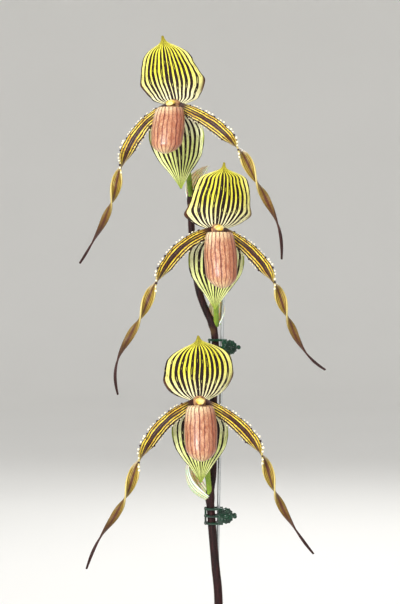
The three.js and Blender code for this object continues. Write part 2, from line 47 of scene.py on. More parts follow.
# Driving sizes, in millimetres, as the solids have them
POT = {"height": 112, "top": 62, "foot": 45, "wall": 5, "floor": 7, "rim": 20, "proud": 3.5, "edge": 3}
DRAIN = {"radius": 5, "circle": 24}
BARK_TOP = 94
CHIPS = {"count": 230, "size": (11, 7.5, 3.4), "shoot_room": (17, 9.5), "worn": 0.7}
CROWN = {
    "y": -7, "foot": 62, "top": 123, "wide": 14, "deep": 6.5, "taper": 0.55,
    "clasp_foot": 84, "clasp": (150, 62),
}
STEM = {"foot_radius": 2.9, "tip_radius": 2, "reach": 5, "proud": 0.5}
STAKE = {"radius": 1, "foot": (-3.8, 5.5, 30), "tip": (3.9, -2.1, 408)}
LEAF = {
    "wall": 1.4,
    "foot_out": 7.5,
    "halves": (9, 13, 16, 17.5, 18, 18, 17, 14.5, 9.5, 1.2),
    "folds": (42, 32, 20, 14, 12, 13, 16),
}
DORSAL = {"foot": (3.2, 1), "cup": 5, "hood": 7, "ear_roll": 5, "ear_drop": 2.5, "wave": 0.8}
SYNSEPAL = {
    "foot": (3, -2),
    "halves": (4.2, 12, 16, 17, 16.8, 15.8, 13.6, 10.4, 6.6, 3.2, 0.5),
    "back": 9,
    "cup": 2.6,
    "wave": 1.1,
}
PETAL = {
    "halves": (2.8, 3.4, 3.8, 3.9, 3.7, 3.4, 2.9, 2.3, 1.6, 1, 0.5),
    "twist": (-20, -10, 0, 20, 90, 180, 270, 360, 430, 480, 520),
    "foot": (3, -1.5),
    "forward": 7,
    "channel": 0.16,
}
POUCH = {
    "half": 9.8, "depth": 8.5, "toe_out": -21, "toe_rise": 1.5, "belly": 0.12, "mouth": (-9.7, -0.8),
    "toe": 0.3,
    "girths": (0.95, 0.99, 1.0, 0.97, 0.92, 0.85, 0.72, 0.58, 0.56),
    "heights": (0.27, 0.42, 0.57, 0.71, 0.83, 0.93, 0.99, 0.975, 0.93),
}
HUB = {"radii": (4.5, 5.5, 4.5), "centre": (0, 1, 0)}
TONGUE = {"radii": (2.8, 5, 1.3), "centre": (0, -7.5, 2.2), "droop": 0.05}
OVARY = {"girth": (1.6, 1.7, 2, 2.6, 3, 2.9, 2.4), "heel": (0, 7.6, -1.6), "neck": (0, 13, -9)}
BRACT = {"foot": 1, "girth": (3.2, 5.4, 7, 7.2, 6, 4, 0.8), "wrap": 112}
CLIP = {
    "stem": 8.1,
    "grip": 3.1,
    "thick": 1.3,
    "tall": 1.5,
    "pitch": 4.5,
    "pad": 4.3,
    "pad_centre": 0.9,
    "pad_thick": 1.1,
    "ribs": 12,
    "tab": 7.6,
    "tab_radius": 1.3,
    "pin": 0.7,
    "lug": 1.8,
    "bottoms": {"front": 2.5, "rear": 1.2},
}
STEM_LINE = (
    (0, -7, 84), (0.6, -6, 140), (0.7, -4, 195), (-1.2, -2.6, 218), (-3.3, -1.2, 242), (-3.8, -0.9, 250),
    (-4.6, -0.6, 259.5), (-4.2, -0.3, 266), (-2.8, 0, 279), (-2.4, 0, 320),
    (-1.2, -0.3, 349), (-1.6, -0.5, 361),
    (-3.2, -0.8, 369), (-6.6, -0.5, 376), (-11.6, 0, 390), (-15, 0, 413), (-16.3, 0, 435), (-16.4, 0, 452),
)
BLOOMS = {
    "upper": {
        "joint": (-16.3, 0, 446),
        "heart": (-26.5, -38, 499.5),
        "turn": -13,
        "nod": 3,
        "pouch_drop": 29,
        "dorsal": {
            "height": 41, "lean": -5.5, "bow": -2.6, "skew": 1,
            "halves": (5, 13, 15.4, 17.8, 20.2, 17.8, 16.2, 14.8, 10.6, 2.6, 0.45),
        },
        "synsepal": {"length": 47, "lean": 1},
        "petals": {
            "left": {"side": -1, "length": 112, "droop": (30, 58, 74, 60, 52)},
            "right": {"side": 1, "length": 118, "droop": (22, 38, 62, 66, 95)},
        },
        "bract": {"towards": 40, "length": 28, "wide": 0.9, "lean": (6, 26, 84)},
    },
    "middle": {
        "joint": (-0.8, -1, 367),
        "heart": (-0.4, -38, 424.7),
        "turn": 7,
        "nod": 0,
        "pouch_drop": 34.5,
        "dorsal": {
            "height": 40, "lean": 3.6, "bow": 2, "skew": 0,
            "halves": (5, 12.2, 16.8, 20.4, 18.8, 18, 17, 15.8, 13, 2.4, 0.45),
        },
        "synsepal": {"length": 45, "lean": 0},
        "petals": {
            "left": {"side": -1, "length": 120, "droop": (18, 50, 66, 62, 105)},
            "right": {"side": 1, "length": 107, "droop": (30, 50, 68, 62, 30)},
        },
        "bract": {"towards": 78, "length": 22, "wide": 0.72, "lean": (8, 6, 0)},
    },
    "lower": {
        "joint": (-4.6, -0.6, 259.5),
        "heart": (-11.1, -38, 321.6),
        "turn": 3,
        "nod": 0,
        "pouch_drop": 33,
        "dorsal": {
            "height": 39.5, "lean": -1, "bow": 0, "skew": 2,
            "halves": (5, 12, 16.4, 19.2, 21, 20.6, 19.8, 17.7, 11.9, 3, 0.45),
        },
        "synsepal": {"length": 47, "lean": 1.5},
        "petals": {
            "left": {"side": -1, "length": 121, "droop": (24, 52, 70, 56, 72)},
            "right": {"side": 1, "length": 115, "droop": (26, 46, 71, 60, 50)},
        },
        "bract": {"towards": 155, "length": 30, "wide": 0.85, "lean": (50, 26, 0)},
    },
}
LEAVES = (
    {"towards": 186, "foot": 101.5, "length": 190, "rise": (34, 6, -40), "roll": 8},
    {"towards": -8, "foot": 104, "length": 205, "rise": (40, 10, -38), "roll": -10},
    {"towards": 170, "foot": 107, "length": 225, "rise": (47, 12, -36), "roll": -6},
    {"towards": 12, "foot": 110, "length": 218, "rise": (50, 12, -36), "roll": 10},
    {"towards": 202, "foot": 113, "length": 170, "rise": (56, 16, -30), "roll": 6},
    {"towards": -26, "foot": 116.5, "length": 150, "rise": (58, 18, -24), "roll": -8},
)
CLIPS = {"upper": (6.9, -0.7, 354), "lower": (4.5, -0.7, 249)}


# Curves and numbers
def curved(a, b, c, d, f):
    """The smooth line between b and c, at share f of the way, that also heads for a and d."""
    return 0.5 * (2 * b + (c - a) * f + (2 * a - 5 * b + 4 * c - d) * f**2 + (3 * b - a - 3 * c + d) * f**3)


def along(stations, t):
    """The value at t, from 0 to 1, of a smooth line through evenly spaced stations."""
    last = len(stations) - 1
    x = min(max(t, 0), 1) * last
    i = min(int(x), last - 1)
    f = x - i
    a, b, c, d = (stations[min(max(k, 0), last)] for k in (i - 1, i, i + 1, i + 2))
    return curved(a, b, c, d, f)


@cache
def walk(length, slopes, s):
    """How far out and up a line has come at share s of its length, with slopes in degrees above level."""
    steps = 40
    angles = [math.radians(along(slopes, (k + 0.5) / steps * s)) for k in range(steps)]
    step = length * s / steps
    return sum(map(math.cos, angles)) * step, sum(map(math.sin, angles)) * step


def bump(t, centre, reach):
    """A rounded bump of height 1 at centre, which is gone at reach to either side."""
    x = min(abs(t - centre) / reach, 1)
    return (1 - x * x) ** 2


def ease(t, low, high):
    """0 below low, 1 above high and smooth between."""
    x = min(max((t - low) / (high - low), 0), 1)
    return x * x * (3 - 2 * x)


def mix(a, b, t):
    return a + (b - a) * t


@cache
def spline(line):
    """A dense, smooth run of points through a line's points, with the distance along it at each."""
    points = [Vector(p) for p in line]
    dense = []
    for i in range(len(points) - 1):
        quad = [points[min(max(k, 0), len(points) - 1)] for k in (i - 1, i, i + 1, i + 2)]
        for k in range(12):
            dense.append(curved(*quad, k / 12))
    dense.append(points[-1])
    travelled = [0]
    for a, b in zip(dense, dense[1:]):
        travelled.append(travelled[-1] + (b - a).length)
    return dense, travelled


@cache
def on_line(line, t):
    """The point at share t of a line's length, and its heading there."""
    dense, travelled = spline(line)
    goal = t * travelled[-1]
    i = max(k for k in range(len(travelled) - 1) if travelled[k] <= goal or k == 0)
    f = (goal - travelled[i]) / (travelled[i + 1] - travelled[i])
    ahead, behind = dense[min(i + 2, len(dense) - 1)], dense[max(i - 1, 0)]
    return dense[i].lerp(dense[i + 1], f), (ahead - behind).normalized()


def beside(line, t, angle, radius):
    """A point at an angle and a radius round a line, turned as the solids' sections are."""
    middle, heading = on_line(line, t)
    back = heading.cross(Vector((1, 0, 0))).normalized()
    right = back.cross(heading)
    return middle + right * radius * math.cos(angle) - back * radius * math.sin(angle)


# Making pieces
def uv_layer(bm):
    layers = bm.loops.layers.uv
    return layers.get("UVMap") or layers.new("UVMap")


def bent_grid(bm, across, lengthwise, place):
    """A grid bent by place(u, v), with u from -1 to 1 across and v from 0 to 1 along, and its UV map."""
    layer = uv_layer(bm)
    corners = bmesh.ops.create_grid(bm, x_segments=across, y_segments=lengthwise, size=1)["verts"]
    for face in {face for corner in corners for face in corner.link_faces}:
        for loop in face.loops:
            loop[layer].uv = ((loop.vert.co.x + 1) / 2, (loop.vert.co.y + 1) / 2)
    for corner in corners:
        corner.co = place(corner.co.x, (corner.co.y + 1) / 2)
    return corners


def close_ends(bm):
    """Joins a wrapped grid's seam and caps what is still open."""
    bmesh.ops.remove_doubles(bm, verts=bm.verts, dist=0.002)
    rims = [edge for edge in bm.edges if edge.is_boundary]
    bmesh.ops.holes_fill(bm, edges=rims)


def wrapped_tube(line, radius, sides, steps):
    """A new bmesh with a closed tube along a line, where radius(t, angle) gives its section."""

    def place(u, v):
        angle = math.pi * (u + 1)
        return beside(line, v, angle, radius(v, angle))

    bm = sheet(sides, steps, place)
    close_ends(bm)
    return bm


def turned(bm, profile, sides):
    """A profile of (radius, height) pairs spun round the z axis."""
    rings = [bm.verts.new((r, 0, z)) for r, z in profile]
    edges = [bm.edges.new(pair) for pair in zip(rings, rings[1:])]
    bmesh.ops.spin(
        bm, geom=rings + edges, cent=(0, 0, 0), axis=(0, 0, 1), angle=TURN, steps=sides, use_merge=True
    )
    bmesh.ops.remove_doubles(bm, verts=bm.verts, dist=0.001)


def placed(bm, corners, matrix):
    bmesh.ops.transform(bm, matrix=matrix, verts=corners)


def ball(bm, sides, rings, radii, matrix=Matrix()):
    """A ball or an egg with its three radii, put in place."""
    made = bmesh.ops.create_uvsphere(bm, u_segments=sides, v_segments=rings, radius=1)["verts"]
    placed(bm, made, matrix @ Matrix.Diagonal((*radii, 1)))
    return made


def soften(bm, edges, width, segments=1):
    bmesh.ops.bevel(
        bm, geom=edges, offset=width, affect="EDGES", segments=segments, profile=0.5, material=-1
    )


def edges_at(corners):
    return list({edge for corner in corners for edge in corner.link_edges})


def sheet(across, lengthwise, place):
    """A new bmesh that holds one bent grid."""
    bm = bmesh.new()
    bent_grid(bm, across, lengthwise, place)
    return bm


def in_scene(name, data):
    thing = bpy.data.objects.new(name, data)
    bpy.context.collection.objects.link(thing)
    return thing


def object_from(name, bm, scale=1):
    """An object in the scene that takes over a bmesh, at a scale."""
    bmesh.ops.scale(bm, vec=(scale, scale, scale), verts=bm.verts)
    mesh = bpy.data.meshes.new(name)
    bm.to_mesh(mesh)
    bm.free()
    return in_scene(name, mesh)


def finish_piece(name, bm, material, nodes=(), body=PLANT, wall=0, inwards=0, levels=0, crease=40):
    """Turns a bmesh in millimetres into a piece that rides on a body and stands for CAD nodes."""
    bmesh.ops.recalc_face_normals(bm, faces=bm.faces)
    piece = object_from(name, bm, MM)
    piece.data.shade_smooth()
    piece.data.set_sharp_from_angle(angle=math.radians(crease))
    piece.data.materials.append(material)
    if wall:
        solid = piece.modifiers.new("wall", "SOLIDIFY")
        solid.thickness = wall * MM
        solid.offset = -inwards
    if levels:
        fine = piece.modifiers.new("fine", "SUBSURF")
        fine.levels = fine.render_levels = levels
    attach(piece, body)
    if nodes:
        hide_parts(*nodes)
    return piece


# Finishes
def linear(colour):
    """An sRGB hex value as linear red, green, blue and alpha."""
    parts = [int(colour[i : i + 2], 16) / 255 for i in (0, 2, 4)]
    return [p / 12.92 if p <= 0.04045 else ((p + 0.055) / 1.055) ** 2.4 for p in parts] + [1]


def node(tree, kind, inputs=(), **settings):
    """Adds a shader node with its settings and links, and gives back its outputs.

    Its inputs are in order, or by name or number. A colour is an sRGB hex value or a socket.
    """
    made = tree.nodes.new("ShaderNode" + kind)
    for key, value in settings.items():
        setattr(made, key, value)
    for key, value in inputs.items() if isinstance(inputs, dict) else enumerate(inputs):
        if isinstance(value, bpy.types.NodeSocket):
            tree.links.new(value, made.inputs[key])
        else:
            made.inputs[key].default_value = linear(value) if isinstance(value, str) else value
    return made.outputs


def fresh(name):
    """A new material, its node tree and the place on the object."""
    material = bpy.data.materials.new(name)
    material.use_nodes = True
    tree = material.node_tree
    tree.nodes.clear()
    return material, tree, node(tree, "TexCoord")["Object"]


def close(material, colour, roughness, height=None, proud=0.2, **constants):
    """Ends a material: colour and roughness, a relief of so many millimetres, and constant settings."""
    tree = material.node_tree
    inputs = {"Base Color": colour, "Roughness": roughness}
    if height is not None:
        inputs["Normal"] = node(tree, "Bump", {"Height": height, "Distance": proud * MM, "Strength": 1})[0]
    inputs.update({key.replace("_", " "): value for key, value in constants.items()})
    shader = node(tree, "BsdfPrincipled", inputs)
    node(tree, "OutputMaterial", {"Surface": shader[0]})
    return material


def distance_from(tree, value, middle):
    """How far a value is from the middle one, to either side."""
    offset = node(tree, "Math", (value, middle), operation="SUBTRACT")[0]
    return node(tree, "Math", (offset,), operation="ABSOLUTE")[0]


def laid_over(tree, under, over, value, low, high, strength=1):
    """One colour over another, none below low and up to strength above high; high may be the lower one."""
    share = node(tree, "MapRange", (value, low, high, 0, strength), interpolation_type="SMOOTHSTEP")[0]
    return node(tree, "Mix", {0: share, 6: under, 7: over}, data_type="RGBA")[2]


def overlap(tree, *bands, strength=1):
    """Up to strength where every value is past its band's second end, 0 where one is before its first."""
    share = strength
    for value, first, second in bands:
        passed = node(tree, "MapRange", (value, first, second), interpolation_type="SMOOTHSTEP")[0]
        share = node(tree, "Math", (passed, share), operation="MULTIPLY")[0]
    return share


def roughened(tree, line, where, per_mm, depth):
    """A distance from a line, with noise of so many features a millimetre that makes its edge ragged."""
    ragged = node(tree, "TexNoise", {"Vector": where, "Scale": per_mm / MM, "Detail": 3})[0]
    step = node(tree, "Math", (ragged, depth, -depth / 2), operation="MULTIPLY_ADD")[0]
    return node(tree, "Math", (line, step), operation="ADD")[0]


def map_of(tree):
    """The surface's UV map, and its own across and along."""
    uv = node(tree, "UVMap", uv_map="UVMap")[0]
    split = node(tree, "SeparateXYZ", {0: uv})
    return uv, split[0], split[1]


def stripes(tree, across, spread, count, wobble):
    """Distance from the nearest of count lines across a blade, 0 on a line and 1 between, and its number."""
    sway = node(tree, "Math", (spread, wobble), operation="MULTIPLY")[0]
    place = node(tree, "Math", (across, count, sway), operation="MULTIPLY_ADD")[0]
    nearness = node(tree, "Math", (place,), operation="FRACT")[0]
    distance = distance_from(tree, nearness, 0.5)
    number = node(tree, "Math", (place,), operation="FLOOR")[0]
    return node(tree, "Math", (distance, 2), operation="MULTIPLY")[0], number


def sepal_finish(name, count, breadth, taper, middle, margin, tip, ear):
    """Sepal tissue, grown: waxy and thin, with near-black maroon veins on cream to yellow."""
    material, tree, where = fresh(name)
    uv, across, onward = map_of(tree)
    drift = node(tree, "TexNoise", {"Vector": uv, "Scale": 2.2, "Detail": 2})[0]
    line, number = stripes(tree, across, drift, count, 0.8)
    fate = node(tree, "TexWhiteNoise", {"W": number}, noise_dimensions="1D")[0]
    centred = distance_from(tree, across, 0.5)
    bold = node(tree, "MapRange", (centred, 0.06, 0.0, 0, 0.16), interpolation_type="SMOOTHSTEP")[0]
    usual = node(tree, "Math", (fate, 0.2, breadth), operation="MULTIPLY_ADD")[0]
    width = node(tree, "Math", (usual, bold), operation="ADD")[0]
    slim = node(tree, "MapRange", (centred, 0.3, 0.5, 0, 0.16), interpolation_type="SMOOTHSTEP")[0]
    far_up = node(tree, "MapRange", (onward, 0.6, 1.0), interpolation_type="SMOOTHSTEP")[0]
    thin = node(tree, "Math", (far_up, taper, slim), operation="MULTIPLY_ADD")[0]
    width = node(tree, "Math", (width, thin), operation="SUBTRACT")[0]
    rough = roughened(tree, line, where, 0.9, 0.2)
    edge = node(tree, "Math", (rough, width), operation="SUBTRACT")[0]
    dark = node(tree, "MapRange", (edge, 0.06, -0.04), interpolation_type="SMOOTHSTEP")[0]
    fade = node(tree, "Math", (fate, 0.08, 0.9), operation="MULTIPLY_ADD")[0]
    past = node(tree, "Math", (onward, fade), operation="SUBTRACT")[0]
    ends = node(tree, "MapRange", (past, 0.06, -0.02), interpolation_type="SMOOTHSTEP")[0]
    whole = node(tree, "Math", (dark, ends), operation="MULTIPLY")[0]
    torn = node(tree, "TexNoise", {"Vector": uv, "Scale": 9, "Detail": 2})[0]
    seam = overlap(tree, (line, 0.1, 0.02), (torn, 0.56, 0.64))
    dark = node(tree, "Math", (whole, seam), operation="SUBTRACT", use_clamp=True)[0]
    broken = node(tree, "TexNoise", {"Vector": where, "Scale": 0.35 / MM, "Detail": 3})[0]
    threads = overlap(tree, (line, 0.9, 0.98), (broken, 0.5, 0.62))
    dark = node(tree, "Math", (dark, threads), operation="MAXIMUM")[0]
    ground = laid_over(tree, middle, margin, centred, 0.3, 0.5, 0.35)
    ground = laid_over(tree, ground, margin, onward, 0.52, 0.04)
    cloud = node(tree, "TexNoise", {"Vector": where, "Scale": 0.2 / MM, "Detail": 4})[0]
    ground = laid_over(tree, ground, tip, cloud, 0.45, 0.75, 0.35)
    ground = laid_over(tree, ground, tip, onward, 0.84, 0.98)
    shade = node(tree, "TexNoise", {"Vector": where, "Scale": 0.3 / MM, "Detail": 2})[0]
    maroon = node(tree, "Mix", {0: shade, 6: "0E0506", 7: "260D10"}, data_type="RGBA")[2]
    colour = node(tree, "Mix", {0: dark, 6: ground, 7: maroon}, data_type="RGBA")[2]
    near_ear = distance_from(tree, onward, 0.33)
    burnt = overlap(tree, (near_ear, 0.14, 0.04), (centred, 0.465, 0.49), strength=0.85)
    colour = node(tree, "Mix", {0: burnt, 6: colour, 7: ear}, data_type="RGBA")[2]
    skin = node(tree, "TexNoise", {"Vector": where, "Scale": 2.2 / MM, "Detail": 3})[0]
    relief = node(tree, "Math", (line, -0.6, skin), operation="MULTIPLY_ADD")[0]
    return close(material, colour, 0.45, relief, 0.22, IOR=1.36, Specular_IOR_Level=0.35)


def petal_finish():
    """Petal tissue, grown: gold with maroon lines and spots; veined olive to maroon tails, pale edges, and a
    painted highlight of pale cream near one edge where the tails begin to twist.
    """
    material, tree, where = fresh("petal_tissue_banded")
    _, across, onward = map_of(tree)
    drift = node(tree, "TexNoise", {"Vector": where, "Scale": 0.12 / MM, "Detail": 3})[0]
    centred = distance_from(tree, across, 0.5)
    line, number = stripes(tree, across, drift, 5, 0.6)
    fate = node(tree, "TexWhiteNoise", {"W": number}, noise_dimensions="1D")[0]
    width = node(tree, "Math", (fate, 0.25, 0.45), operation="MULTIPLY_ADD")[0]
    rough = roughened(tree, line, where, 0.8, 0.5)
    edge = node(tree, "Math", (rough, width), operation="SUBTRACT")[0]
    dark = node(tree, "MapRange", (edge, 0.12, -0.08), interpolation_type="SMOOTHSTEP")[0]
    cloud = node(tree, "TexNoise", {"Vector": where, "Scale": 0.3 / MM, "Detail": 3})[0]
    gold = laid_over(tree, "D2A51E", "FBE24A", cloud, 0.35, 0.65)
    gold = laid_over(tree, gold, "E3CF74", across, 0.3, 0.05)
    band = node(tree, "Math", (drift, 0.16, centred), operation="MULTIPLY_ADD")[0]
    spine = overlap(tree, (band, 0.22, 0.13), (onward, 0.02, 0.16))
    cell = node(tree, "TexVoronoi", {"Vector": where, "Scale": 0.8 / MM}, feature="F1")["Distance"]
    spot = overlap(tree, (cell, 0.36, 0.22), (centred, 0.2, 0.32))
    margin = node(tree, "MapRange", (across, 0.93, 0.98), interpolation_type="SMOOTHSTEP")[0]
    foot = node(tree, "MapRange", (onward, 0.075, 0.02), interpolation_type="SMOOTHSTEP")[0]
    for mark in (spine, spot, margin, foot):
        dark = node(tree, "Math", (dark, mark), operation="MAXIMUM")[0]
    maroon = node(tree, "Mix", {0: drift, 6: "1C0605", 7: "43160B"}, data_type="RGBA")[2]
    near = node(tree, "Mix", {0: dark, 6: gold, 7: maroon}, data_type="RGBA")[2]
    vein, _ = stripes(tree, across, drift, 7, 0.8)
    far = laid_over(tree, "A58A26", "4E1815", onward, 0.5, 0.9)
    far = laid_over(tree, far, "5A2A14", band, 0.32, 0.12)
    far = laid_over(tree, far, "3A140E", vein, 0.55, 0.2, 0.85)
    rim = overlap(tree, (centred, 0.42, 0.49), (onward, 0.78, 0.5))
    far = node(tree, "Mix", {0: rim, 6: far, 7: "D9C77C"}, data_type="RGBA")[2]
    far = laid_over(tree, far, "33100F", onward, 0.72, 0.95)
    # painted highlight: a pale cream patch near one edge where the tail begins to twist
    painted_flash_highlight = overlap(tree, (onward, 0.3, 0.35), (onward, 0.46, 0.4), (across, 0.4, 0.15), strength=0.75)
    far = node(tree, "Mix", {0: painted_flash_highlight, 6: far, 7: "E8D8C0"}, data_type="RGBA")[2]
    colour = laid_over(tree, near, far, onward, 0.3, 0.44)
    skin = node(tree, "TexNoise", {"Vector": where, "Scale": 2.5 / MM, "Detail": 3})[0]
    relief = node(tree, "Math", (vein, skin), operation="ADD")[0]
    soft = {"Subsurface_Weight": 0.06, "Subsurface_Scale": 0.002}
    return close(material, colour, 0.38, relief, 0.16, IOR=1.42, **soft)


def wart_finish():
    """Warts, grown: dark maroon, with a painted highlight of pearly cream over the tip of most of them."""
    material, tree, where = fresh("wart_tissue_glint_tipped")
    _, kind, height = map_of(tree)
    # painted highlight: cream over the outer part of the warts marked pale, standing for a glint
    pale = overlap(tree, (height, 0.3, 0.62), (kind, 0.3, 0.6))
    cloud = node(tree, "TexNoise", {"Vector": where, "Scale": 1.5 / MM, "Detail": 2})[0]
    painted_glint = node(tree, "Mix", {0: cloud, 6: "FFF8E4", 7: "EFE2B4"}, data_type="RGBA")[2]
    colour = node(tree, "Mix", {0: pale, 6: "2B0E0C", 7: painted_glint}, data_type="RGBA")[2]
    relief = node(tree, "TexNoise", {"Vector": where, "Scale": 3 / MM, "Detail": 2})[0]
    return close(material, colour, 0.32, relief, 0.05, IOR=1.45)


def pouch_finish():
    """Pouch tissue, grown: waxy salmon clouded with cream, with lengthwise maroon veins and a fine net. The
    cream at the toe, round the upper part and on the upper-left shoulder is painted highlight, and the
    darker red-brown down the right side is painted shade.
    """
    material, tree, where = fresh("pouch_tissue_veined")
    _, across, onward = map_of(tree)
    drift = node(tree, "TexNoise", {"Vector": where, "Scale": 0.14 / MM, "Detail": 4})[0]
    main, number = stripes(tree, across, drift, 21, 0.8)
    fate = node(tree, "TexWhiteNoise", {"W": number}, noise_dimensions="1D")[0]
    rough = roughened(tree, main, where, 0.9, 0.24)
    line = node(tree, "MapRange", (rough, 0.4, 0.1), interpolation_type="SMOOTHSTEP")[0]
    strength = node(tree, "Math", (fate, 0.6, 0.4), operation="MULTIPLY_ADD")[0]
    vein = node(tree, "Math", (line, strength), operation="MULTIPLY")[0]
    minor, _ = stripes(tree, across, drift, 63, 3.2)
    fine = node(tree, "MapRange", (minor, 0.5, 0.1, 0, 0.3), interpolation_type="SMOOTHSTEP")[0]
    tall = node(tree, "Mapping", {"Vector": where, "Scale": (1, 1, 0.45)})[0]
    cell = node(tree, "TexVoronoi", {"Vector": tall, "Scale": 0.7 / MM}, feature="DISTANCE_TO_EDGE")[0]
    net = node(tree, "MapRange", (cell, 0.1, 0.0, 0, 0.3), interpolation_type="SMOOTHSTEP")[0]
    fine = node(tree, "Math", (fine, net), operation="ADD")[0]
    long = node(tree, "Mapping", {"Vector": where, "Scale": (1, 1, 0.4)})[0]
    cloud = {"Vector": long, "Scale": 0.5 / MM, "Detail": 5, "Roughness": 0.7}
    ground = laid_over(tree, "B0714F", "DDAA84", node(tree, "TexNoise", cloud)[0], 0.34, 0.7)
    # painted highlight: cream towards the toe
    ground = laid_over(tree, ground, "F5D7A4", onward, 0.3, 0.06)
    # painted highlight: pale cream round the upper part, towards the mouth
    ground = laid_over(tree, ground, "FADCAE", onward, 0.62, 0.78, 0.85)
    # painted shade: darker red-brown down the right side and round to the back
    ground = laid_over(tree, ground, "9E4C34", across, 0.5, 0.66, 0.6)
    # painted highlight: cream on the upper-left shoulder, where the key light falls
    painted_shoulder_highlight = overlap(tree, (across, 0.46, 0.36), (onward, 0.5, 0.72), strength=0.7)
    ground = node(tree, "Mix", {0: painted_shoulder_highlight, 6: ground, 7: "F8E2B8"}, data_type="RGBA")[2]
    marks = node(tree, "Math", (vein, fine), operation="ADD", use_clamp=True)[0]
    colour = node(tree, "Mix", {0: marks, 6: ground, 7: "6B2A20"}, data_type="RGBA")[2]
    skin = node(tree, "TexNoise", {"Vector": where, "Scale": 1.6 / MM, "Detail": 3})[0]
    relief = node(tree, "Math", (vein, -0.8, skin), operation="MULTIPLY_ADD")[0]
    constants = {"Subsurface_Weight": 0.12, "Subsurface_Scale": 0.003, "IOR": 1.45}
    return close(material, colour, 0.3, relief, 0.2, Coat_Weight=0.25, Coat_Roughness=0.25, **constants)


def plain_tissue(name, first, second, per_mm, roughness, proud=0.1, **constants):
    """Soft plant tissue, grown: two near colours that drift into each other, with a fine skin."""
    material, tree, where = fresh(name)
    cloud = node(tree, "TexNoise", {"Vector": where, "Scale": per_mm / MM, "Detail": 4})[0]
    colour = laid_over(tree, first, second, cloud, 0.35, 0.65)
    relief = node(tree, "TexNoise", {"Vector": where, "Scale": 2.4 / MM, "Detail": 4})[0]
    return close(material, colour, roughness, relief, proud, **constants)


def bract_finish():
    """Bract tissue, grown: papery cream-green with fine green lengthwise lines and a whitish margin."""
    material, tree, where = fresh("bract_tissue_papery")
    _, across, onward = map_of(tree)
    drift = node(tree, "TexNoise", {"Vector": where, "Scale": 0.1 / MM, "Detail": 3})[0]
    line, _ = stripes(tree, across, drift, 11, 0.5)
    centred = distance_from(tree, across, 0.5)
    cloud = node(tree, "TexNoise", {"Vector": where, "Scale": 0.15 / MM, "Detail": 3})[0]
    ground = laid_over(tree, "E4EAB4", "F7F7DE", cloud, 0.3, 0.7)
    ground = laid_over(tree, ground, "FBF8E6", centred, 0.36, 0.5)
    ground = laid_over(tree, ground, "FBF8E6", onward, 0.7, 1.0)
    colour = laid_over(tree, ground, "55652A", line, 0.36, 0.12, 0.8)
    skin = node(tree, "TexNoise", {"Vector": where, "Scale": 2 / MM, "Detail": 3})[0]
    relief = node(tree, "Math", (line, -1, skin), operation="MULTIPLY_ADD")[0]
    return close(material, colour, 0.5, relief, 0.2, IOR=1.4, Subsurface_Weight=0.4, Subsurface_Scale=0.004)


def leaf_finish():
    """Leaf blade, grown: glossy deep green with faint parallel veins and a paler midrib."""
    material, tree, where = fresh("leaf_blade_waxy")
    _, across, onward = map_of(tree)
    drift = node(tree, "TexNoise", {"Vector": where, "Scale": 0.05 / MM, "Detail": 3})[0]
    line, _ = stripes(tree, across, drift, 26, 0.5)
    cloud = node(tree, "TexNoise", {"Vector": where, "Scale": 0.03 / MM, "Detail": 4})[0]
    colour = laid_over(tree, "1F4A1C", "356B2A", cloud, 0.3, 0.7)
    colour = laid_over(tree, colour, "4C8238", line, 0.5, 0.0, 0.35)
    colour = laid_over(tree, colour, "6E9A48", distance_from(tree, across, 0.5), 0.03, 0.0, 0.6)
    colour = laid_over(tree, colour, "7F9A4A", onward, 0.16, 0.0)
    skin = node(tree, "TexNoise", {"Vector": where, "Scale": 0.5 / MM, "Detail": 3})[0]
    relief = node(tree, "Math", (line, 0.7, skin), operation="MULTIPLY_ADD")[0]
    return close(material, colour, 0.34, relief, 0.25, IOR=1.45, Coat_Weight=0.3, Coat_Roughness=0.3)


def stem_finish():
    """Flower stem skin, grown: dark maroon, a little olive in broad patches, finely streaked."""
    material, tree, where = fresh("stem_skin_maroon")
    long = node(tree, "Mapping", {"Vector": where, "Scale": (1, 1, 0.12)})[0]
    streak = node(tree, "TexNoise", {"Vector": long, "Scale": 0.7 / MM, "Detail": 4})[0]
    colour = laid_over(tree, "150608", "331314", streak, 0.35, 0.7)
    cloud = node(tree, "TexNoise", {"Vector": where, "Scale": 0.05 / MM, "Detail": 2})[0]
    colour = laid_over(tree, colour, "5A4426", cloud, 0.62, 0.75)
    return close(material, colour, 0.6, streak, 0.15, IOR=1.42, Specular_IOR_Level=0.3)


def clay_finish():
    """Unglazed clay, turned and fired: dry, speckled, with faint throwing rings and a lime bloom."""
    material, tree, where = fresh("terracotta_fired")
    flat = node(tree, "Mapping", {"Vector": where, "Scale": (0.05, 0.05, 1)})[0]
    ring = node(tree, "TexNoise", {"Vector": flat, "Scale": 0.4 / MM, "Detail": 4})[0]
    cloud = node(tree, "TexNoise", {"Vector": where, "Scale": 0.02 / MM, "Detail": 5})[0]
    speck = node(tree, "TexNoise", {"Vector": where, "Scale": 1.4 / MM, "Detail": 2})[0]
    lime = {"Vector": where, "Scale": 0.035 / MM, "Detail": 6, "Roughness": 0.65}
    colour = laid_over(tree, "A85A38", "C47A52", cloud, 0.35, 0.7)
    colour = laid_over(tree, colour, "8E4528", ring, 0.45, 0.7, 0.35)
    colour = laid_over(tree, colour, "6B3320", speck, 0.66, 0.74, 0.6)
    colour = laid_over(tree, colour, "D9BFA8", node(tree, "TexNoise", lime)[0], 0.55, 0.75, 0.4)
    relief = node(tree, "Math", (speck, 0.5, ring), operation="MULTIPLY_ADD")[0]
    return close(material, colour, 0.88, relief, 0.3, IOR=1.5)


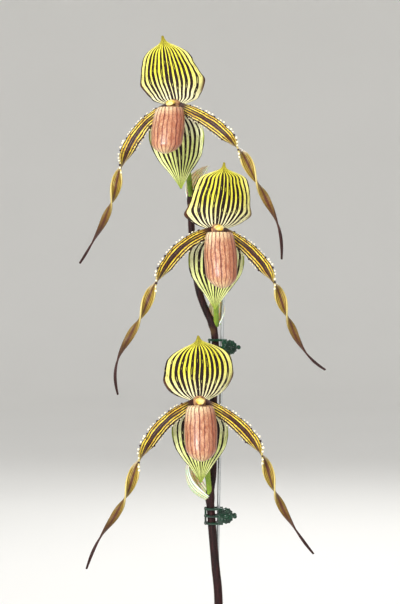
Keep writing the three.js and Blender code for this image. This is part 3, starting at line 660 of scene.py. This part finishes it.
def bark_finish():
    """Pine bark, broken into chips: corky red-brown plates with dark splits and pale dust."""
    material, tree, where = fresh("pine_bark_chipped")
    cork = node(tree, "TexNoise", {"Vector": where, "Scale": 0.25 / MM, "Detail": 6, "Roughness": 0.65})[0]
    plate = node(tree, "TexVoronoi", {"Vector": where, "Scale": 0.12 / MM}, feature="F1")["Color"]
    tint = node(tree, "SeparateColor", {0: plate})[0]
    dust = node(tree, "TexNoise", {"Vector": where, "Scale": 1.1 / MM, "Detail": 4})[0]
    colour = node(tree, "Mix", {0: tint, 6: "4A2C1C", 7: "7A4E34"}, data_type="RGBA")[2]
    colour = laid_over(tree, colour, "24140D", cork, 0.55, 0.35)
    colour = laid_over(tree, colour, "A58768", dust, 0.62, 0.75, 0.45)
    return close(material, colour, 0.92, cork, 0.8, IOR=1.45)


def wire_finish():
    """Galvanised wire, drawn: pale grey, lengthwise draw lines, a little dull bloom."""
    material, tree, where = fresh("galvanised_wire_drawn")
    long = node(tree, "Mapping", {"Vector": where, "Scale": (1, 1, 0.03)})[0]
    line = node(tree, "TexNoise", {"Vector": long, "Scale": 4 / MM, "Detail": 3})[0]
    patch = node(tree, "TexNoise", {"Vector": where, "Scale": 0.12 / MM, "Detail": 4})[0]
    colour = node(tree, "Mix", {0: patch, 6: "AEB2B4", 7: "CDD0D1"}, data_type="RGBA")[2]
    roughness = node(tree, "Math", (patch, 0.25, 0.25), operation="MULTIPLY_ADD")[0]
    return close(material, colour, roughness, line, 0.05, Metallic=1)


def clip_finish():
    """ABS plastic, injection moulded: glossy dark green with faint flow marks and handling scuffs."""
    material, tree, where = fresh("abs_plastic_moulded")
    flow = node(tree, "TexNoise", {"Vector": where, "Scale": 0.2 / MM, "Detail": 3})[0]
    colour = laid_over(tree, "031E13", "073622", flow, 0.35, 0.65)
    worn = node(tree, "TexNoise", {"Vector": where, "Scale": 1.3 / MM, "Detail": 5, "Roughness": 0.7})[0]
    scuff = node(tree, "MapRange", (worn, 0.5, 0.75), interpolation_type="SMOOTHSTEP")[0]
    roughness = node(tree, "Math", (scuff, 0.22, 0.1), operation="MULTIPLY_ADD")[0]
    relief = node(tree, "TexNoise", {"Vector": where, "Scale": 2 / MM, "Detail": 3})[0]
    return close(material, colour, roughness, relief, 0.03, IOR=1.54)


SEPAL = sepal_finish("dorsal_sepal_tissue_striped", 13, 0.5, 0.2, "E6DE44", "F9F2C4", "A3962C", "5E3318")
LOW_SEPAL = sepal_finish("synsepal_tissue_striped", 11, 0.4, 0.1, "DCE48A", "F6F6D6", "A8BC48", "98A440")
PETAL_SKIN = petal_finish()
WART = wart_finish()
POUCH_SKIN = pouch_finish()
COLUMN_SKIN = plain_tissue("column_tissue_waxy", "E2B93C", "F7E7A0", 0.35, 0.35, IOR=1.42)
HUB_SKIN = plain_tissue("hub_tissue_maroon", "45140F", "C79468", 0.4, 0.5, IOR=1.42)
OVARY_SKIN = plain_tissue("ovary_skin_green", "5C7A1C", "86A030", 0.15, 0.5, IOR=1.42)
STEM_HAIR = plain_tissue("hair_maroon_brown", "54342E", "8A6C5E", 0.5, 0.6, IOR=1.5)
HAIR = plain_tissue("hair_downy", "C9B79A", "E6DCC6", 0.5, 0.6, IOR=1.5)
SHEATH = plain_tissue("leaf_sheath_pale_green", "5F8238", "8FA656", 0.08, 0.45, IOR=1.42)
BRACT_SKIN = bract_finish()
LEAF_BLADE = leaf_finish()
STEM_SKIN = stem_finish()
CLAY = clay_finish()
BARK = bark_finish()
WIRE = wire_finish()
ABS = clip_finish()


# Pot and bark
def wall_at(z):
    return mix(POT["foot"], POT["top"], z / POT["height"])


def make_pot():
    """The clay pot, turned from a softly rounded profile, with its drain holes cut."""
    high, wall, floor, edge, proud = (POT[key] for key in ("height", "wall", "floor", "edge", "proud"))
    rim = high - POT["rim"]
    outer_top, inner_top = POT["top"] + proud, POT["top"] - wall

    def arc(r, z, start, end):
        turns = (math.radians(mix(start, end, k / 5)) for k in range(6))
        return [(r + edge * math.cos(a), z + edge * math.sin(a)) for a in turns]

    profile = [(0, 0), *arc(POT["foot"] - edge, edge, -90, 0)]
    profile += [(wall_at(z), z) for z in (30, 60, rim - 1)]
    profile += [(wall_at(rim) + proud * 0.6, rim + 0.6), (wall_at(rim) + proud, rim + edge)]
    profile += arc(outer_top - edge, high - edge, 0, 90)
    profile += arc(inner_top + edge, high - edge, 90, 180)
    profile += [(wall_at(z) - wall, z) for z in (80, 40, floor + edge)]
    profile += [(wall_at(floor) - wall - edge, floor), (0, floor)]
    bm = bmesh.new()
    turned(bm, profile, 96)
    pot = finish_piece("pot_turned", bm, CLAY, ["pot"], crease=60)
    cutter = bmesh.new()
    for k in range(4):
        angle = TURN * (k + 0.5) / 4
        spot = Vector((math.cos(angle), math.sin(angle), 0)) * DRAIN["circle"]
        made = bmesh.ops.create_cone(
            cutter, cap_ends=True, segments=32, radius1=DRAIN["radius"], radius2=DRAIN["radius"], depth=20
        )
        placed(cutter, made["verts"], Matrix.Translation(spot))
    tool = object_from("drain_cutter", cutter, MM)
    cut = pot.modifiers.new("drains", "BOOLEAN")
    cut.operation = "DIFFERENCE"
    cut.object = tool
    drained = bpy.data.meshes.new_from_object(pot.evaluated_get(bpy.context.evaluated_depsgraph_get()))
    pot.modifiers.clear()
    pot.data = drained
    bpy.data.objects.remove(tool)


def make_bark():
    """The potting bark: a bed with many loose-looking chips on it, kept clear of the shoot."""
    draw = Random(5)
    bm = bmesh.new()
    inside = wall_at(BARK_TOP) - POT["wall"] - 0.3
    bed = [(0, POT["floor"] + 0.3), (wall_at(POT["floor"]) - POT["wall"] - 1.3, POT["floor"] + 0.3)]
    bed += [(inside - 0.5, BARK_TOP - 2), (inside * 0.7, BARK_TOP), (inside * 0.35, BARK_TOP), (0, BARK_TOP)]
    turned(bm, bed, 48)
    room_x, room_y = CHIPS["shoot_room"]
    for k in range(CHIPS["count"]):
        reach = (inside - 5) * math.sqrt((k + 0.5) / CHIPS["count"])
        angle = k * GOLDEN_ANGLE
        x, y = reach * math.cos(angle), reach * math.sin(angle)
        if (x / room_x) ** 2 + ((y - CROWN["y"]) / room_y) ** 2 < 1:
            continue
        size = [full * draw.uniform(0.6, 1.35) for full in CHIPS["size"]]
        chip = bmesh.ops.create_cube(bm, size=1)["verts"]
        for corner in chip:
            corner.co += Vector([draw.uniform(-0.16, 0.16) for _ in range(3)])
        turn = Matrix.Rotation(draw.uniform(0, TURN), 4, "Z")
        for axis in "XY":
            turn = turn @ Matrix.Rotation(draw.uniform(-0.45, 0.45), 4, axis)
        height = BARK_TOP + draw.uniform(-1, 4.5)
        placed(bm, chip, Matrix.Translation((x, y, height)) @ turn @ Matrix.Diagonal((*size, 1)))
        soften(bm, edges_at(chip), CHIPS["worn"])
    finish_piece("bark_chips", bm, BARK, ["potting_bark"], crease=30)


# Leaves, crown, stem and stake
def bearing(towards):
    """The level directions outwards and sideways, at so many degrees round from +X."""
    angle = math.radians(towards)
    return Vector((math.cos(angle), math.sin(angle), 0)), Vector((-math.sin(angle), math.cos(angle), 0))


def leaf_point(leaf, u, s):
    outwards, sideways = bearing(leaf["towards"])
    slope = math.radians(along(leaf["rise"], s))
    out, up = walk(leaf["length"], leaf["rise"], s)
    upwards = outwards * -math.sin(slope)
    upwards.z = math.cos(slope)
    half = along(LEAF["halves"], s)
    fold, roll = math.radians(along(LEAF["folds"], s)), math.radians(leaf["roll"] * s)
    flat = half * u * math.cos(fold)
    lift = half * (math.sqrt(u * u + 0.01) - 0.1) * math.sin(fold)
    wave = 0.8 * math.sin(s * 11 + leaf["towards"]) * u * u * bump(s, 0.55, 0.5)
    middle = Vector((0, CROWN["y"], leaf["foot"] + up)) + outwards * (LEAF["foot_out"] + out)
    across = sideways * (flat * math.cos(roll) - lift * math.sin(roll))
    return middle + across + upwards * (lift * math.cos(roll) + flat * math.sin(roll) + wave)


def make_leaves():
    for number, leaf in enumerate(LEAVES, 1):
        bm = sheet(16, 70, lambda u, v: leaf_point(leaf, u, v))
        nodes = [f"leaf_{number}"]
        finish_piece(f"leaf_blade_{number}", bm, LEAF_BLADE, nodes, wall=LEAF["wall"], levels=1)


def make_crown():
    """The leafy shoot: an oval core with the leaves' folded feet clasping it in turn."""

    def core(u, v):
        narrow = 1 - (1 - CROWN["taper"]) * v * v
        angle = math.pi * (u + 1)
        ridge = 1 + 0.05 * math.cos(6 * angle) * (1 - v)
        x = CROWN["wide"] * narrow * math.cos(angle) * ridge
        y = CROWN["y"] + CROWN["deep"] * narrow * math.sin(angle) * ridge
        return Vector((x, y, mix(CROWN["foot"], CROWN["top"], v)))

    bm = sheet(40, 16, core)
    close_ends(bm)
    finish_piece("crown_core", bm, SHEATH, ["crown"], levels=1)
    for number, leaf in enumerate(LEAVES, 1):
        side = 1 if math.cos(math.radians(leaf["towards"])) > 0 else -1
        bottom, top = CROWN["clasp_foot"], leaf["foot"] + 9

        def clasp(u, v):
            reach = math.radians(mix(*CROWN["clasp"], v))
            centre = 0 if side > 0 else math.pi
            angle = centre + u * reach
            narrow = 1 - (1 - CROWN["taper"]) * ease(mix(bottom, top, v), CROWN["foot"], CROWN["top"] + 6)
            proud = 1.1 - 0.12 * number + 2.4 * v * v
            x = (CROWN["wide"] * narrow + proud) * math.cos(angle)
            y = CROWN["y"] + (CROWN["deep"] * narrow + proud * 0.7) * math.sin(angle)
            return Vector((x, y, mix(bottom, top, v) - 7 * abs(u) ** 2 * v))

        bm = sheet(20, 12, clasp)
        finish_piece(f"leaf_sheath_{number}", bm, SHEATH, wall=0.9, levels=1)


def stem_radius(t, angle):
    height = mix(STEM_LINE[0][2], STEM_LINE[-1][2], t)
    swelling = max(bump(height, bloom["joint"][2], STEM["reach"]) for bloom in BLOOMS.values())
    ripple = 0.04 * math.cos(5 * angle + 3 * t)
    return mix(STEM["foot_radius"], STEM["tip_radius"], t) + STEM["proud"] * swelling + ripple


def standing(root, outward):
    """A turn and a move that stand a shape's z axis along outward at root."""
    return Matrix.Translation(root) @ outward.to_track_quat("Z", "Y").to_matrix().to_4x4()


def tufts(count, grow):
    """A bmesh of many small shapes, grown a hundred at a time, where grow(bm, k) makes the k-th."""
    whole = bmesh.new()
    uv_layer(whole)
    for start in range(0, count, 100):
        tuft = bmesh.new()
        uv_layer(tuft)
        for k in range(start, min(start + 100, count)):
            grow(tuft, k)
        mesh = bpy.data.meshes.new("tuft")
        tuft.to_mesh(mesh)
        tuft.free()
        whole.from_mesh(mesh)
        bpy.data.meshes.remove(mesh)
    return whole


def hairs(line, radius, count, long, draw, low, high):
    """Fine hairs that stand out round a line, sunk a little into its skin."""

    def grow(bm, k):
        t = mix(low, high, (k + draw.random()) / count)
        angle = k * GOLDEN_ANGLE + draw.uniform(-0.4, 0.4)
        skin = radius(t, angle)
        root = beside(line, t, angle, skin - 0.1)
        outward = (beside(line, t, angle, skin + long) - root).normalized()
        length = long * draw.uniform(0.6, 1.1) + 0.1
        upright = standing(root + outward * (length / 2), outward)
        bmesh.ops.create_cone(
            bm, cap_ends=True, segments=3, radius1=0.055, radius2=0.012, depth=length, matrix=upright
        )

    return tufts(count, grow)


def make_stem():
    bm = wrapped_tube(STEM_LINE, stem_radius, 24, 260)
    finish_piece("flower_stem_skin", bm, STEM_SKIN, ["flower_stem"])
    bm = hairs(STEM_LINE, stem_radius, count=2600, long=0.75, draw=Random(7), low=0.12, high=0.985)
    finish_piece("flower_stem_hairs", bm, STEM_HAIR, crease=180)


def make_stake():
    bm = wrapped_tube((STAKE["foot"], STAKE["tip"]), lambda t, angle: STAKE["radius"], 20, 60)
    caps = [edge for edge in bm.edges if len({round(f.normal.z) for f in edge.link_faces}) > 1]
    soften(bm, caps, 0.3, 3)
    finish_piece("stake_wire", bm, WIRE, ["stake"])


# Blooms
def in_place(bloom):
    turn, nod = (math.radians(bloom[key]) for key in ("turn", "nod"))
    return Matrix.Translation(bloom["heart"]) @ Matrix.Rotation(turn, 4, "Z") @ Matrix.Rotation(nod, 4, "X")


def dorsal_half(halves, u, v):
    """Half the blade's width, evened out inside its margins so that the veins bow smoothly."""
    full = max(along(halves, v), 0.4)
    even = sum(along(halves, v + step / 10) for step in range(-2, 3)) / 5
    return mix(full, even, bump(v, 0.45, 0.42) * (1 - u**4))


def dorsal_point(shape, u, v):
    half = dorsal_half(shape["halves"], u, v)
    margin = min(max((abs(u) - 0.7) / 0.3, 0), 1) ** 2
    ear = margin * bump(v, 0.3, 0.3)
    wave = DORSAL["wave"] * math.sin(v * 24 + u * 2) * abs(u) ** 3 * bump(v, 0.45, 0.45)
    frill = 0.35 * math.sin(v * 55 + u * 3) * abs(u) ** 6 * bump(v, 0.5, 0.45)
    rib = 0.1 * math.cos(13 * math.pi * (u + 1)) * (1 - v)
    foot_y, foot_z = DORSAL["foot"]
    cup = DORSAL["cup"] * u * u * half / 20 - DORSAL["hood"] * v * v + DORSAL["ear_roll"] * ear
    return Vector((
        half * u + shape["lean"] * v * v + shape["bow"] * math.sin(math.pi * v),
        foot_y + cup + wave + frill + rib,
        foot_z + shape["height"] * v + shape["skew"] * u * math.sin(math.pi * v) - DORSAL["ear_drop"] * ear,
    ))


def synsepal_point(shape, u, v):
    half = along(SYNSEPAL["halves"], v)
    wave = SYNSEPAL["wave"] * math.sin(v * 19 + u * 2.5) * abs(u) ** 3 * bump(v, 0.5, 0.5)
    frill = 0.3 * math.sin(v * 47) * abs(u) ** 6 * bump(v, 0.5, 0.45)
    rib = 0.1 * math.cos(11 * math.pi * (u + 1)) * (1 - v)
    foot_y, foot_z = SYNSEPAL["foot"]
    cup = SYNSEPAL["cup"] * u * u * half / 16 * (1 - v)
    return Vector((
        half * u + shape["lean"] * v,
        foot_y + SYNSEPAL["back"] * v - cup + wave + frill + rib,
        foot_z - shape["length"] * v,
    ))


def petal_point(shape, u, s):
    out, up = walk(shape["length"], tuple(-d for d in shape["droop"]), s)
    slope, twist = math.radians(along(shape["droop"], s)), math.radians(along(PETAL["twist"], s))
    half = along(PETAL["halves"], s)
    side = shape["side"]
    upper, facing = Vector((side * math.sin(slope), 0, math.cos(slope))), Vector((0, -1, 0))
    across = upper * math.cos(twist) + facing * math.sin(twist)
    outer = facing * math.cos(twist) - upper * math.sin(twist)
    ruffle = (0.5 * math.sin(s * 50) + 0.25 * math.sin(s * 113 + u)) * u * u * bump(s, 0.22, 0.3)
    out_foot, y_foot = PETAL["foot"]
    middle = Vector((side * (out_foot + out), y_foot - PETAL["forward"] * math.sin(math.pi * s), up))
    return middle + across * half * u + outer * (ruffle - PETAL["channel"] * half * u * u)


def make_petal(name, side, shape, place):
    bm = sheet(14, 170, lambda u, v: place @ petal_point(shape, u, v))
    node_name = f"petal_{side}_{name}"
    finish_piece(f"petal_ribbon_{side}_{name}", bm, PETAL_SKIN, [node_name], wall=0.9)
    bm = bmesh.new()
    layer = uv_layer(bm)
    draw = Random(node_name)
    for margin, count, end in ((1, 23, 0.44), (-1, 13, 0.3)):
        for k in range(count):
            s = mix(0.06, end, (k + draw.uniform(-0.2, 0.2)) / (count - 1))
            root, inner = (place @ petal_point(shape, u, max(s, 0.03)) for u in (margin, margin * 0.8))
            outward = (root - inner).normalized()
            size = draw.uniform(0.55, 0.85) * (1 if margin > 0 else 0.75)
            # three warts in four are marked pale and get a painted highlight at the tip
            pale = 1 if k % 4 else 0
            long = size * (1.5 if pale else 0.9)
            made = bmesh.ops.create_icosphere(bm, subdivisions=2, radius=1)["verts"]
            for face in {face for corner in made for face in corner.link_faces}:
                for loop in face.loops:
                    loop[layer].uv = (pale, (loop.vert.co.z + 1) / 2)
            upright = standing(root + outward * long * 0.4, outward)
            placed(bm, made, upright @ Matrix.Diagonal((size, size, long, 1)))
    finish_piece(f"petal_warts_{side}_{name}", bm, WART, crease=180)


def pouch_point(drop, u, v):
    """u runs once round the slipper, from back to back, and v from its toe up to the rolled-in mouth."""
    angle = math.pi * u + math.pi / 2 + math.pi
    toe, girths, heights = (POUCH[key] for key in ("toe", "girths", "heights"))
    if v < toe:
        curve = math.radians(mix(0, 90, v / toe))
        r, h = girths[0] * math.sin(curve) ** 1.25, heights[0] * (1 - math.cos(curve))
    else:
        t = (v - toe) / (1 - toe)
        r, h = along(girths, t), along(heights, t)
    across, fore = r * math.cos(angle), r * math.sin(angle)
    belly = 1 + (POUCH["belly"] * bump(h, 0.3, 0.5) if fore < 0 else 0)
    crease = 0.25 * bump(across, 0, 0.12) * (1 if fore < 0 else 0) * bump(h, 0.45, 0.5)
    mouth_y, mouth_z = POUCH["mouth"]
    return Vector((
        POUCH["half"] * across,
        mix(POUCH["toe_out"], mouth_y, h) + POUCH["depth"] * belly * fore + crease,
        mix(-drop, mouth_z, h) + POUCH["toe_rise"] * fore * (1 - h),
    ))


def make_pouch(name, drop, place):
    bm = sheet(64, 44, lambda u, v: place @ pouch_point(drop, u, v))
    bmesh.ops.remove_doubles(bm, verts=bm.verts, dist=0.01)
    shell = f"pouch_shell_{name}"
    finish_piece(shell, bm, POUCH_SKIN, [f"pouch_{name}"], wall=0.8, inwards=1, levels=1)


def make_column(name, place):
    """The hub that the bloom's parts meet at, and the shield over the pouch's mouth."""
    bm = bmesh.new()
    ball(bm, 32, 20, HUB["radii"], place @ Matrix.Translation(HUB["centre"]))
    finish_piece(f"column_hub_{name}", bm, HUB_SKIN, [f"column_{name}"])
    bm = bmesh.new()
    tongue = ball(bm, 32, 20, TONGUE["radii"])
    for corner in tongue:
        corner.co.z += 0.35 * bump(corner.co.x, 0, 1.2) - TONGUE["droop"] * (corner.co.y - 2) ** 2
    placed(bm, tongue, place @ Matrix.Translation(TONGUE["centre"]))
    finish_piece(f"column_shield_{name}", bm, COLUMN_SKIN)


def ovary_line(bloom, place):
    heel, neck, joint = place @ Vector(OVARY["heel"]), place @ Vector(OVARY["neck"]), Vector(bloom["joint"])
    low = joint.lerp(neck, 0.3) + Vector((0, 1, 3))
    return tuple(tuple(point) for point in (joint, low, neck, heel))


def ovary_radius(t, angle):
    return along(OVARY["girth"], t) * (1 + 0.1 * math.cos(3 * angle))


def make_ovary(name, bloom, place):
    line = ovary_line(bloom, place)
    bm = wrapped_tube(line, ovary_radius, 24, 60)
    finish_piece(f"ovary_skin_{name}", bm, OVARY_SKIN, [f"ovary_{name}"])
    bm = hairs(line, ovary_radius, count=420, long=0.6, draw=Random(11), low=0.04, high=0.96)
    finish_piece(f"ovary_hairs_{name}", bm, HAIR, crease=180)


def bract_point(bloom, u, s):
    shape = bloom["bract"]
    outwards, sideways = bearing(shape["towards"])
    slope = math.radians(along(shape["lean"], s))
    up, out = walk(shape["length"], shape["lean"], s)
    under = outwards * math.cos(slope)
    under.z = -math.sin(slope)
    girth = along(BRACT["girth"], s) * shape["wide"]
    turn = math.radians(BRACT["wrap"] * u * (1 - 0.35 * s))
    middle = Vector(bloom["joint"]) + Vector((0, -3 * s, up + BRACT["foot"])) + outwards * out
    return middle + under * girth * math.cos(turn) + sideways * girth * math.sin(turn)


def make_bloom(name, bloom):
    place = in_place(bloom)
    bm = sheet(56, 64, lambda u, v: place @ dorsal_point(bloom["dorsal"], u, v))
    finish_piece(f"dorsal_blade_{name}", bm, SEPAL, [f"dorsal_sepal_{name}"], wall=0.8)
    bm = sheet(48, 60, lambda u, v: place @ synsepal_point(bloom["synsepal"], u, v))
    finish_piece(f"synsepal_blade_{name}", bm, LOW_SEPAL, [f"synsepal_{name}"], wall=0.8)
    for side, shape in bloom["petals"].items():
        make_petal(name, side, shape, place)
    make_pouch(name, bloom["pouch_drop"], place)
    make_column(name, place)
    make_ovary(name, bloom, place)
    bm = sheet(30, 34, lambda u, v: bract_point(bloom, u, v))
    finish_piece(f"bract_blade_{name}", bm, BRACT_SKIN, [f"bract_{name}"], wall=0.6)


# Clips
def rounded_block(bm, size, centre, soft=0.25):
    made = bmesh.ops.create_cube(bm, size=1)["verts"]
    placed(bm, made, Matrix.Translation(centre) @ Matrix.Diagonal((*size, 1)))
    soften(bm, edges_at(made), soft, 2)


def jaw_bar(bm, z):
    """A round-edged prong that runs from the hinge and curls round the stem."""
    stem, grip, thick, tall = (CLIP[key] for key in ("stem", "grip", "thick", "tall"))
    middle = grip + thick / 2
    route = [(-1 - (stem - 1) * k / 6, -middle) for k in range(7)]
    for k in range(1, 13):
        angle = math.radians(mix(270, 184, k / 12))
        route.append((-stem + middle * math.cos(angle), middle * math.sin(angle)))
    line = tuple((x, y, z) for x, y in route)

    def place(u, v):
        angle = math.pi * (u + 1)
        centre, heading = on_line(line, v)
        outward = heading.cross(Vector((0, 0, 1))).normalized()
        square = 1 / max(abs(math.cos(angle)), abs(math.sin(angle))) ** 0.75
        level, upright = thick / 2 * math.cos(angle) * square, tall / 2 * math.sin(angle) * square
        return centre + outward * level + Vector((0, 0, upright))

    bmesh.ops.remove_doubles(bm, verts=bent_grid(bm, 16, 40, place), dist=0.002)


def softened_disc(bm, radius, thick, sides, matrix):
    before = set(bm.verts)
    turned(bm, [
        (0, 0), (radius - 0.3, 0), (radius, 0.3), (radius, thick - 0.3), (radius - 0.3, thick), (0, thick),
    ], sides)
    placed(bm, [corner for corner in bm.verts if corner not in before], matrix)


def make_jaw(name, which, centre):
    stem, grip, thick, tall, pitch = (CLIP[key] for key in ("stem", "grip", "thick", "tall", "pitch"))
    pad, pad_thick = CLIP["pad"], CLIP["pad_thick"]
    height = 2 * pitch + tall
    bm = bmesh.new()
    for z in (-pitch, 0, pitch):
        jaw_bar(bm, z)
        ball(bm, 16, 10, [1.05] * 3, Matrix.Translation((-stem - grip - thick / 2 + 0.1, -1.35, z)))
    close_holes = [edge for edge in bm.edges if edge.is_boundary]
    bmesh.ops.holes_fill(bm, edges=close_holes)
    rounded_block(bm, (thick, 1.6, height), (-stem - grip - thick / 2, -1.1, 0), 0.4)
    rounded_block(bm, (3, thick, height), (-2.6, -grip - thick / 2, 0), 0.35)
    stand = Matrix.Translation((CLIP["pad_centre"], -grip, 0)) @ Matrix.Rotation(math.pi / 2, 4, "X")
    softened_disc(bm, pad, pad_thick, 48, stand)
    for k in range(CLIP["ribs"]):
        angle = TURN * k / CLIP["ribs"]
        spoke = stand @ Matrix.Rotation(angle, 4, "Z")
        ball(bm, 12, 8, (pad * 0.36, 0.42, 0.6), spoke @ Matrix.Translation((pad * 0.6, 0, pad_thick)))
        ball(bm, 10, 6, [0.62] * 3, spoke @ Matrix.Translation((pad * 0.95, 0, pad_thick * 0.75)))
    ball(bm, 20, 12, (1.5, 1.5, 0.8), stand @ Matrix.Translation((0, 0, pad_thick)))
    at_end = Matrix.Translation((CLIP["tab"] - CLIP["tab_radius"], -grip, 0))
    softened_disc(bm, CLIP["tab_radius"], pad_thick, 24, at_end @ Matrix.Rotation(math.pi / 2, 4, "X"))
    bottom = CLIP["bottoms"][which]
    inner, lug = CLIP["pin"] + 0.3, CLIP["lug"]
    neck = grip + pad_thick / 2 - lug * 0.8
    for low in (bottom, -bottom - 1):
        turned(bm, [(inner, low), (lug, low), (lug, low + 1), (inner, low + 1), (inner, low)], 24)
        rounded_block(bm, (1.8 * lug, neck, 1), (0, -lug * 0.8 - neck / 2, low + 0.5), 0.1)
    if which == "rear":
        bmesh.ops.rotate(bm, verts=bm.verts, cent=(0, 0, 0), matrix=Matrix.Rotation(math.pi, 3, "X"))
    bmesh.ops.translate(bm, vec=centre, verts=bm.verts)
    body = PLANT if which == "front" else f"clip_{name}_rear"
    finish_piece(f"clip_{which}_{name}", bm, ABS, [f"clip_{which}_jaw_{name}"], body=body)


def make_clip(name, centre):
    for which in ("front", "rear"):
        make_jaw(name, which, centre)
    bm = bmesh.new()
    pin = CLIP["pin"]
    turned(bm, [(0, -4), (pin - 0.15, -4), (pin, -3.8), (pin, 3.8), (pin - 0.15, 4), (0, 4)], 24)
    bmesh.ops.translate(bm, vec=centre, verts=bm.verts)
    finish_piece(f"clip_pin_turned_{name}", bm, WIRE, [f"clip_pin_{name}"])
    middle, turns, wire = (pin + 0.3 + CLIP["lug"]) / 2, 4, 0.19
    coil = tuple(
        (middle * math.cos(a), middle * math.sin(a), mix(-0.68, 0.68, a / (TURN * turns)))
        for a in (TURN * turns * k / 80 for k in range(81))
    )
    bm = wrapped_tube(coil, lambda t, angle: wire, 10, 200)
    bmesh.ops.translate(bm, vec=centre, verts=bm.verts)
    finish_piece(f"clip_coil_{name}", bm, WIRE, [f"clip_spring_{name}"])


# Studio
def make_studio():
    """A pale floor that curves up into a round wall, three soft lights and a pale sky."""
    material, tree, where = fresh("backdrop_paper_pale")
    cloud = node(tree, "TexNoise", {"Vector": where, "Scale": 0.002 / MM, "Detail": 2})[0]
    colour = node(tree, "Mix", {0: cloud, 6: "ECEBE8", 7: "F0EFEC"}, data_type="RGBA")[2]
    close(material, colour, 0.9)
    bm = bmesh.new()
    rise = [(5 + 2 * math.sin(a), 2 - 2 * math.cos(a)) for a in (math.pi / 2 * k / 10 for k in range(11))]
    turned(bm, [(0, 0), (2.5, 0), *rise, (7, 6)], 96)
    stage = object_from("floor_and_wall", bm)
    stage.data.shade_smooth()
    stage.data.materials.append(material)
    stage.location.z = -0.0005
    aim = Vector((0, 0, 0.36))
    for name, spot, size, watts in (
        ("key", (-0.9, -1.7, 1.25), 0.5, 46),
        ("fill", (1.5, -1.4, 0.7), 1.2, 7),
        ("rim", (0.4, 1.8, 1.6), 1.0, 18),
    ):
        lamp = bpy.data.lights.new(name, "AREA")
        lamp.size, lamp.energy = size, watts
        holder = in_scene(name, lamp)
        holder.location = spot
        holder.rotation_euler = (aim - Vector(spot)).to_track_quat("-Z", "Y").to_euler()
    world = bpy.data.worlds.new("studio_air")
    world.use_nodes = True
    world.node_tree.nodes["Background"].inputs["Color"].default_value = (1, 1, 1, 1)
    world.node_tree.nodes["Background"].inputs["Strength"].default_value = 0.7
    bpy.context.scene.world = world
    bpy.context.scene.view_settings.view_transform = "Standard"


def make_camera():
    """The photograph's view: level, in front of the blooms, with 0.6 mm to a pixel at their depth."""
    photo_high, mm_a_pixel, distance, bloom_y = 604, 0.6, 1.0, -0.038
    camera = bpy.data.cameras.new("camera")
    camera.lens = camera.sensor_width * (distance + bloom_y) / (photo_high * mm_a_pixel * MM)
    camera.clip_end = 30
    holder = in_scene("camera", camera)
    holder.location = (-0.0108, -distance, 0.3822)
    holder.rotation_euler = (math.pi / 2, 0, 0)
    bpy.context.scene.camera = holder


make_camera()
make_studio()
make_pot()
make_bark()
make_leaves()
make_crown()
make_stem()
make_stake()
for bloom_name, bloom_facts in BLOOMS.items():
    make_bloom(bloom_name, bloom_facts)
for clip_name, clip_centre in CLIPS.items():
    make_clip(clip_name, clip_centre)
